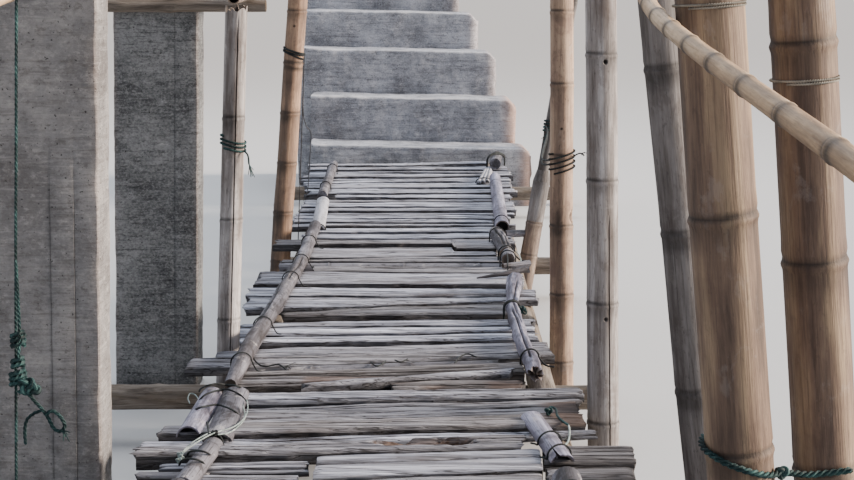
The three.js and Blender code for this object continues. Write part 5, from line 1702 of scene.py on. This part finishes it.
def rope_right():
    piece = Piece("rope_right_lines", GREEN_ROPE)
    twin_a, twin_b, end = POSTS["post_right_1"], POSTS["post_right_2"], POSTS["mast_right_end"]
    line = hung(loop_side(twin_a, "near", 1), loop_side(end, "end", -1), 0.420, 12)
    thick_rope(piece, line, 871)
    post_lashing(piece, twin_a, "near", 872)
    post_lashing(piece, twin_b, "near", 873)
    post_lashing(piece, end, "end", 874)
    level = LOOP_LEVEL["near"]
    between = [(axis_x(twin_a, level) + 0.05, twin_a["y"], level),
               (axis_x(twin_b, level) - 0.05, twin_b["y"], level)]
    rope(piece, between, ROPE_RADIUS * 0.8, 0.06, 875)
    thick_rope(piece, [(STAY_FOOT["x"], STAY_FOOT["y"], STAY_FOOT["z"]), loop_side(twin_b, "near", -1)],
               876, ASIDE)
    thick_rope(piece, [loop_side(end, "end", 1), (0.230, FAR_STAY_Y, step_top(0.230))], 877, ASIDE)
    for k, x in enumerate((0.835, 0.660, 0.709, 0.880)):
        hanger(piece, line, f"transom_{k + 2}", x, 880 + 10 * k)
    piece.build("rope", "rope_right")


rope_left()
rope_right()


def wires():
    """Two wires from the lashing on the far left post: one straight down, one slack."""
    piece = Piece("post_left_far_wire", WIRE, DARK_CORD)
    post, ring_z = POSTS["post_left_far"], 1.120
    start_at = (edge_x(post, ring_z, 1, 0.003), post["y"], ring_z)
    foot = (-0.506, middle_y("transom_4"), TRANSOM_AXIS + TRANSOM_RADIUS + 0.001)
    cord(piece, [start_at, foot], 0.0022, 920, 0, AWAY, step=0.05)
    slack = [start_at, (-0.468, 6.720, 0.870), (-0.462, 6.800, 0.785), (-0.449, 6.900, 0.735),
             (-0.471, 7.100, 0.608), (-0.510, 7.400, 0.392), (-0.535, 7.530, 0.335), (-0.548, 7.600, 0.303)]
    cord(piece, slack, 0.0022, 921, 0, AWAY, step=0.02)
    for k, (lift, tilt) in enumerate(((0.012, 0.30), (-0.006, 0.42), (0.002, 0.22))):
        level = ring_z + lift
        girth = girth_radius(post, level) + 0.0035
        points = coil_round((axis_x(post, level), post["y"], level), girth, 1.1, 0.004, post["slope"],
                            math.pi, -tilt)
        cord(piece, points, 0.0042, 925 + k, 1)
    piece.build("wire", "post_left_far_wires")


wires()


# Lashings that the solids leave out
def lash(name, post, z, cord_radius, turns, material, seed, tilt, tail=(), pitch=2.0):
    """A cord wound round a post, with a tail given by steps from the post's right side."""
    piece = Piece(name, material)
    girth = girth_radius(post, z) + cord_radius * 0.8
    points = coil_round((axis_x(post, z), post["y"], z), girth, turns, pitch * cord_radius, post["slope"],
                        math.pi * 1.25, tilt)
    rope(piece, points, cord_radius, cord_radius * 5.5, seed, sides=9)
    right = np.array([edge_x(post, z, 1), post["y"], z])
    if tail:
        cord(piece, [right + step for step in tail], cord_radius * 0.7, seed + 10, up=(0.2, 1, 0.1))
    return piece, right


def lashings():
    post, z = POSTS["post_right_5"], DECK_TOP + 0.538
    piece, right = lash("post_right_5_lashing", post, z, 0.0036, 4, DARK_CORD, 940, 0.25,
                        ((0, -0.02, 0.02), (0.02, -0.03, 0.03), (0.035, -0.03, 0.022)), pitch=5.0)
    frayed_end(piece, right + (0.02, -0.03, 0.028), (0.6, -0.2, 0.1), 0.035, 0.0012, 945)
    left, brace_x, brace_y = edge_x(post, z, -1), BRACE["x"] + BRACE["slope"] * 0.50, middle_y("brace_foot")
    for k in range(2):
        low = z - 0.016 * k
        cord(piece, [(left, post["y"], low), (left - 0.012, post["y"] + 0.25, low - 0.02),
                     (brace_x - 0.03, brace_y - 0.2, low - 0.045), (brace_x - 0.03, brace_y, low - 0.03)],
             0.0035, 947 + k)
    piece.build("rope")

    piece, right = lash("post_left_short_lashing", POSTS["post_left_short"], DECK_TOP + 0.660, 0.0042, 3,
                        GREEN_ROPE, 950, -0.25,
                        ((0, -0.02, -0.02), (0.014, -0.03, -0.035), (0.018, -0.035, -0.065)), pitch=3.0)
    frayed_end(piece, right + (0.018, -0.035, -0.06), (0.1, -0.1, -0.6), 0.04, 0.0013, 955, count=9)
    piece.build("rope")

    near, second, z = POSTS["post_right_1"], POSTS["post_right_2"], 0.846
    piece = Piece("near_posts_lashing", GREEN_ROPE)
    middle, reach = axis_x(near, z), girth_radius(near, z) + 0.006
    beside = second["y"] - girth_radius(second, z)
    across = [(middle + dx * reach, near["y"] + dy * reach, z + dz) for dx, dy, dz in (
        (0.8, 0.5, 0.03), (0, 1, 0.03), (-0.8, 0.5, 0.028), (-1, -0.012 / reach, 0.022),
        (-0.6, -0.8, 0.012), (0, -1, 0.002), (0.6, -0.8, -0.008), (1 + 0.010 / reach, -0.3, -0.014))]
    across += [(axis_x(second, z) - 0.03, beside - 0.006, z - 0.022),
               (axis_x(second, z) + 0.03, beside - 0.004, z - 0.016)]
    rope(piece, across, 0.0055, 0.032, 965)
    knot(piece, (middle + reach + 0.004, near["y"] - 0.4 * reach, z - 0.012), 0.007, 0.0045, 967)
    piece.build("rope")

    for post, level, name, seed in ((near, 1.490, "post_right_1_twine", 970),
                                    (second, 1.385, "post_right_2_twine", 975)):
        lash(name, post, level, 0.0020, 1.6, TWINE, seed, 0.06)[0].build("rope")

    piece = Piece("brace_lashing", GREEN_ROPE)
    centre = (brace_x, middle_y("brace_pole"), DECK_TOP + 0.500)
    rope(piece, coil_round(centre, BRACE["pole"] + 0.004, 4, 0.014, BRACE["slope"]), 0.005, 0.028, 980,
         sides=9)
    frayed_end(piece, np.array(centre) - (0.02, 0.03, 0.03), (-0.2, -0.2, -0.8), 0.05, 0.0015, 985)
    piece.build("rope")


lashings()

# Splinters and a board end that lie loose on the walkway's right side: places, end radii, tone
LOOSE_STICKS = (
    (((526, 269, 0.332), (502, 274, 0.322), (477, 278, 0.310)), 0.016, 0.003, -0.4),
    (((503, 266, 0.313), (530, 263, 0.313)), 0.010, 0.013, 0.8),
    (((506, 234, 0.312), (537, 232, 0.312)), 0.016, 0.015, 0.5),
)


def loose_sticks():
    piece = Piece("loose_sticks", KERB)
    for k, (places, start_radius, end_radius, tone) in enumerate(LOOSE_STICKS):
        path = Path([seen(*place) for place in places], step=0.02)
        branch(piece, path, start_radius, end_radius, 990 + k, sides=10, rough=0.2, step=0.01, tone=tone)
    piece.build("deck_wood")


loose_sticks()

# Stage: floor, lights and camera
SOFT_ANGLE = 17
FLOOR_REACH = 150.0
SENSOR_WIDTH = 36.0
FAR_CLIP = 400
FLOOR_COLOUR = (0.58, 0.58, 0.57, 1)
SKY_COLOUR = (0.80, 0.86, 1.0, 1)
WARM_LIGHT = (1.0, 0.86, 0.73)
COOL_LIGHT = (0.90, 0.94, 1.0)


def stage_material():
    material = bpy.data.materials.new("pale_floor")
    material.use_nodes = True
    shader = material.node_tree.nodes["Principled BSDF"]
    shader.inputs["Base Color"].default_value = FLOOR_COLOUR
    shader.inputs["Roughness"].default_value = 0.95
    return material


def stage():
    mesh = bpy.data.meshes.new("floor")
    corners = [(x * FLOOR_REACH, y * FLOOR_REACH, 0) for x, y in ((-1, -1), (1, -1), (1, 1), (-1, 1))]
    mesh.from_pydata(corners, [], [(0, 1, 2, 3)])
    mesh.materials.append(stage_material())
    floor = bpy.data.objects.new("floor", mesh)
    bpy.context.scene.collection.objects.link(floor)


def lamp(name, kind, place, target, power, colour):
    data = bpy.data.lights.new(name, kind)
    data.energy = power
    data.color = colour
    made = bpy.data.objects.new(name, data)
    bpy.context.scene.collection.objects.link(made)
    place, target = mathutils.Vector(place), mathutils.Vector(target)
    made.location = place
    made.rotation_euler = (target - place).to_track_quat("-Z", "Y").to_euler()
    return data


def lights():
    world = bpy.data.worlds.new("sky")
    world.use_nodes = True
    background = world.node_tree.nodes["Background"]
    background.inputs["Color"].default_value = SKY_COLOUR
    background.inputs["Strength"].default_value = 0.62
    bpy.context.scene.world = world
    warm = lamp("warm_side", "SUN", (13.0, 0.6, 4.5), (0, 0, 0.6), 10.4, WARM_LIGHT)
    warm.angle = math.radians(SOFT_ANGLE)
    cool = lamp("overcast", "AREA", (-0.5, 4.0, 9.0), (0, 0, 0), 850, COOL_LIGHT)
    cool.shape = "DISK"
    cool.size = 8.0


def camera():
    data = bpy.data.cameras.new("camera")
    data.lens = LENS
    data.sensor_width = SENSOR_WIDTH
    data.clip_end = FAR_CLIP
    made = bpy.data.objects.new("camera", data)
    made.location = (EYE_X + SHIFT[0], SHIFT[1], DECK_TOP + EYE_HEIGHT)
    made.rotation_euler = (math.radians(90 - PITCH), 0, math.radians(YAW))
    bpy.context.scene.collection.objects.link(made)
    bpy.context.scene.camera = made


stage()
lights()
camera()


bpy.context.view_layer.update()
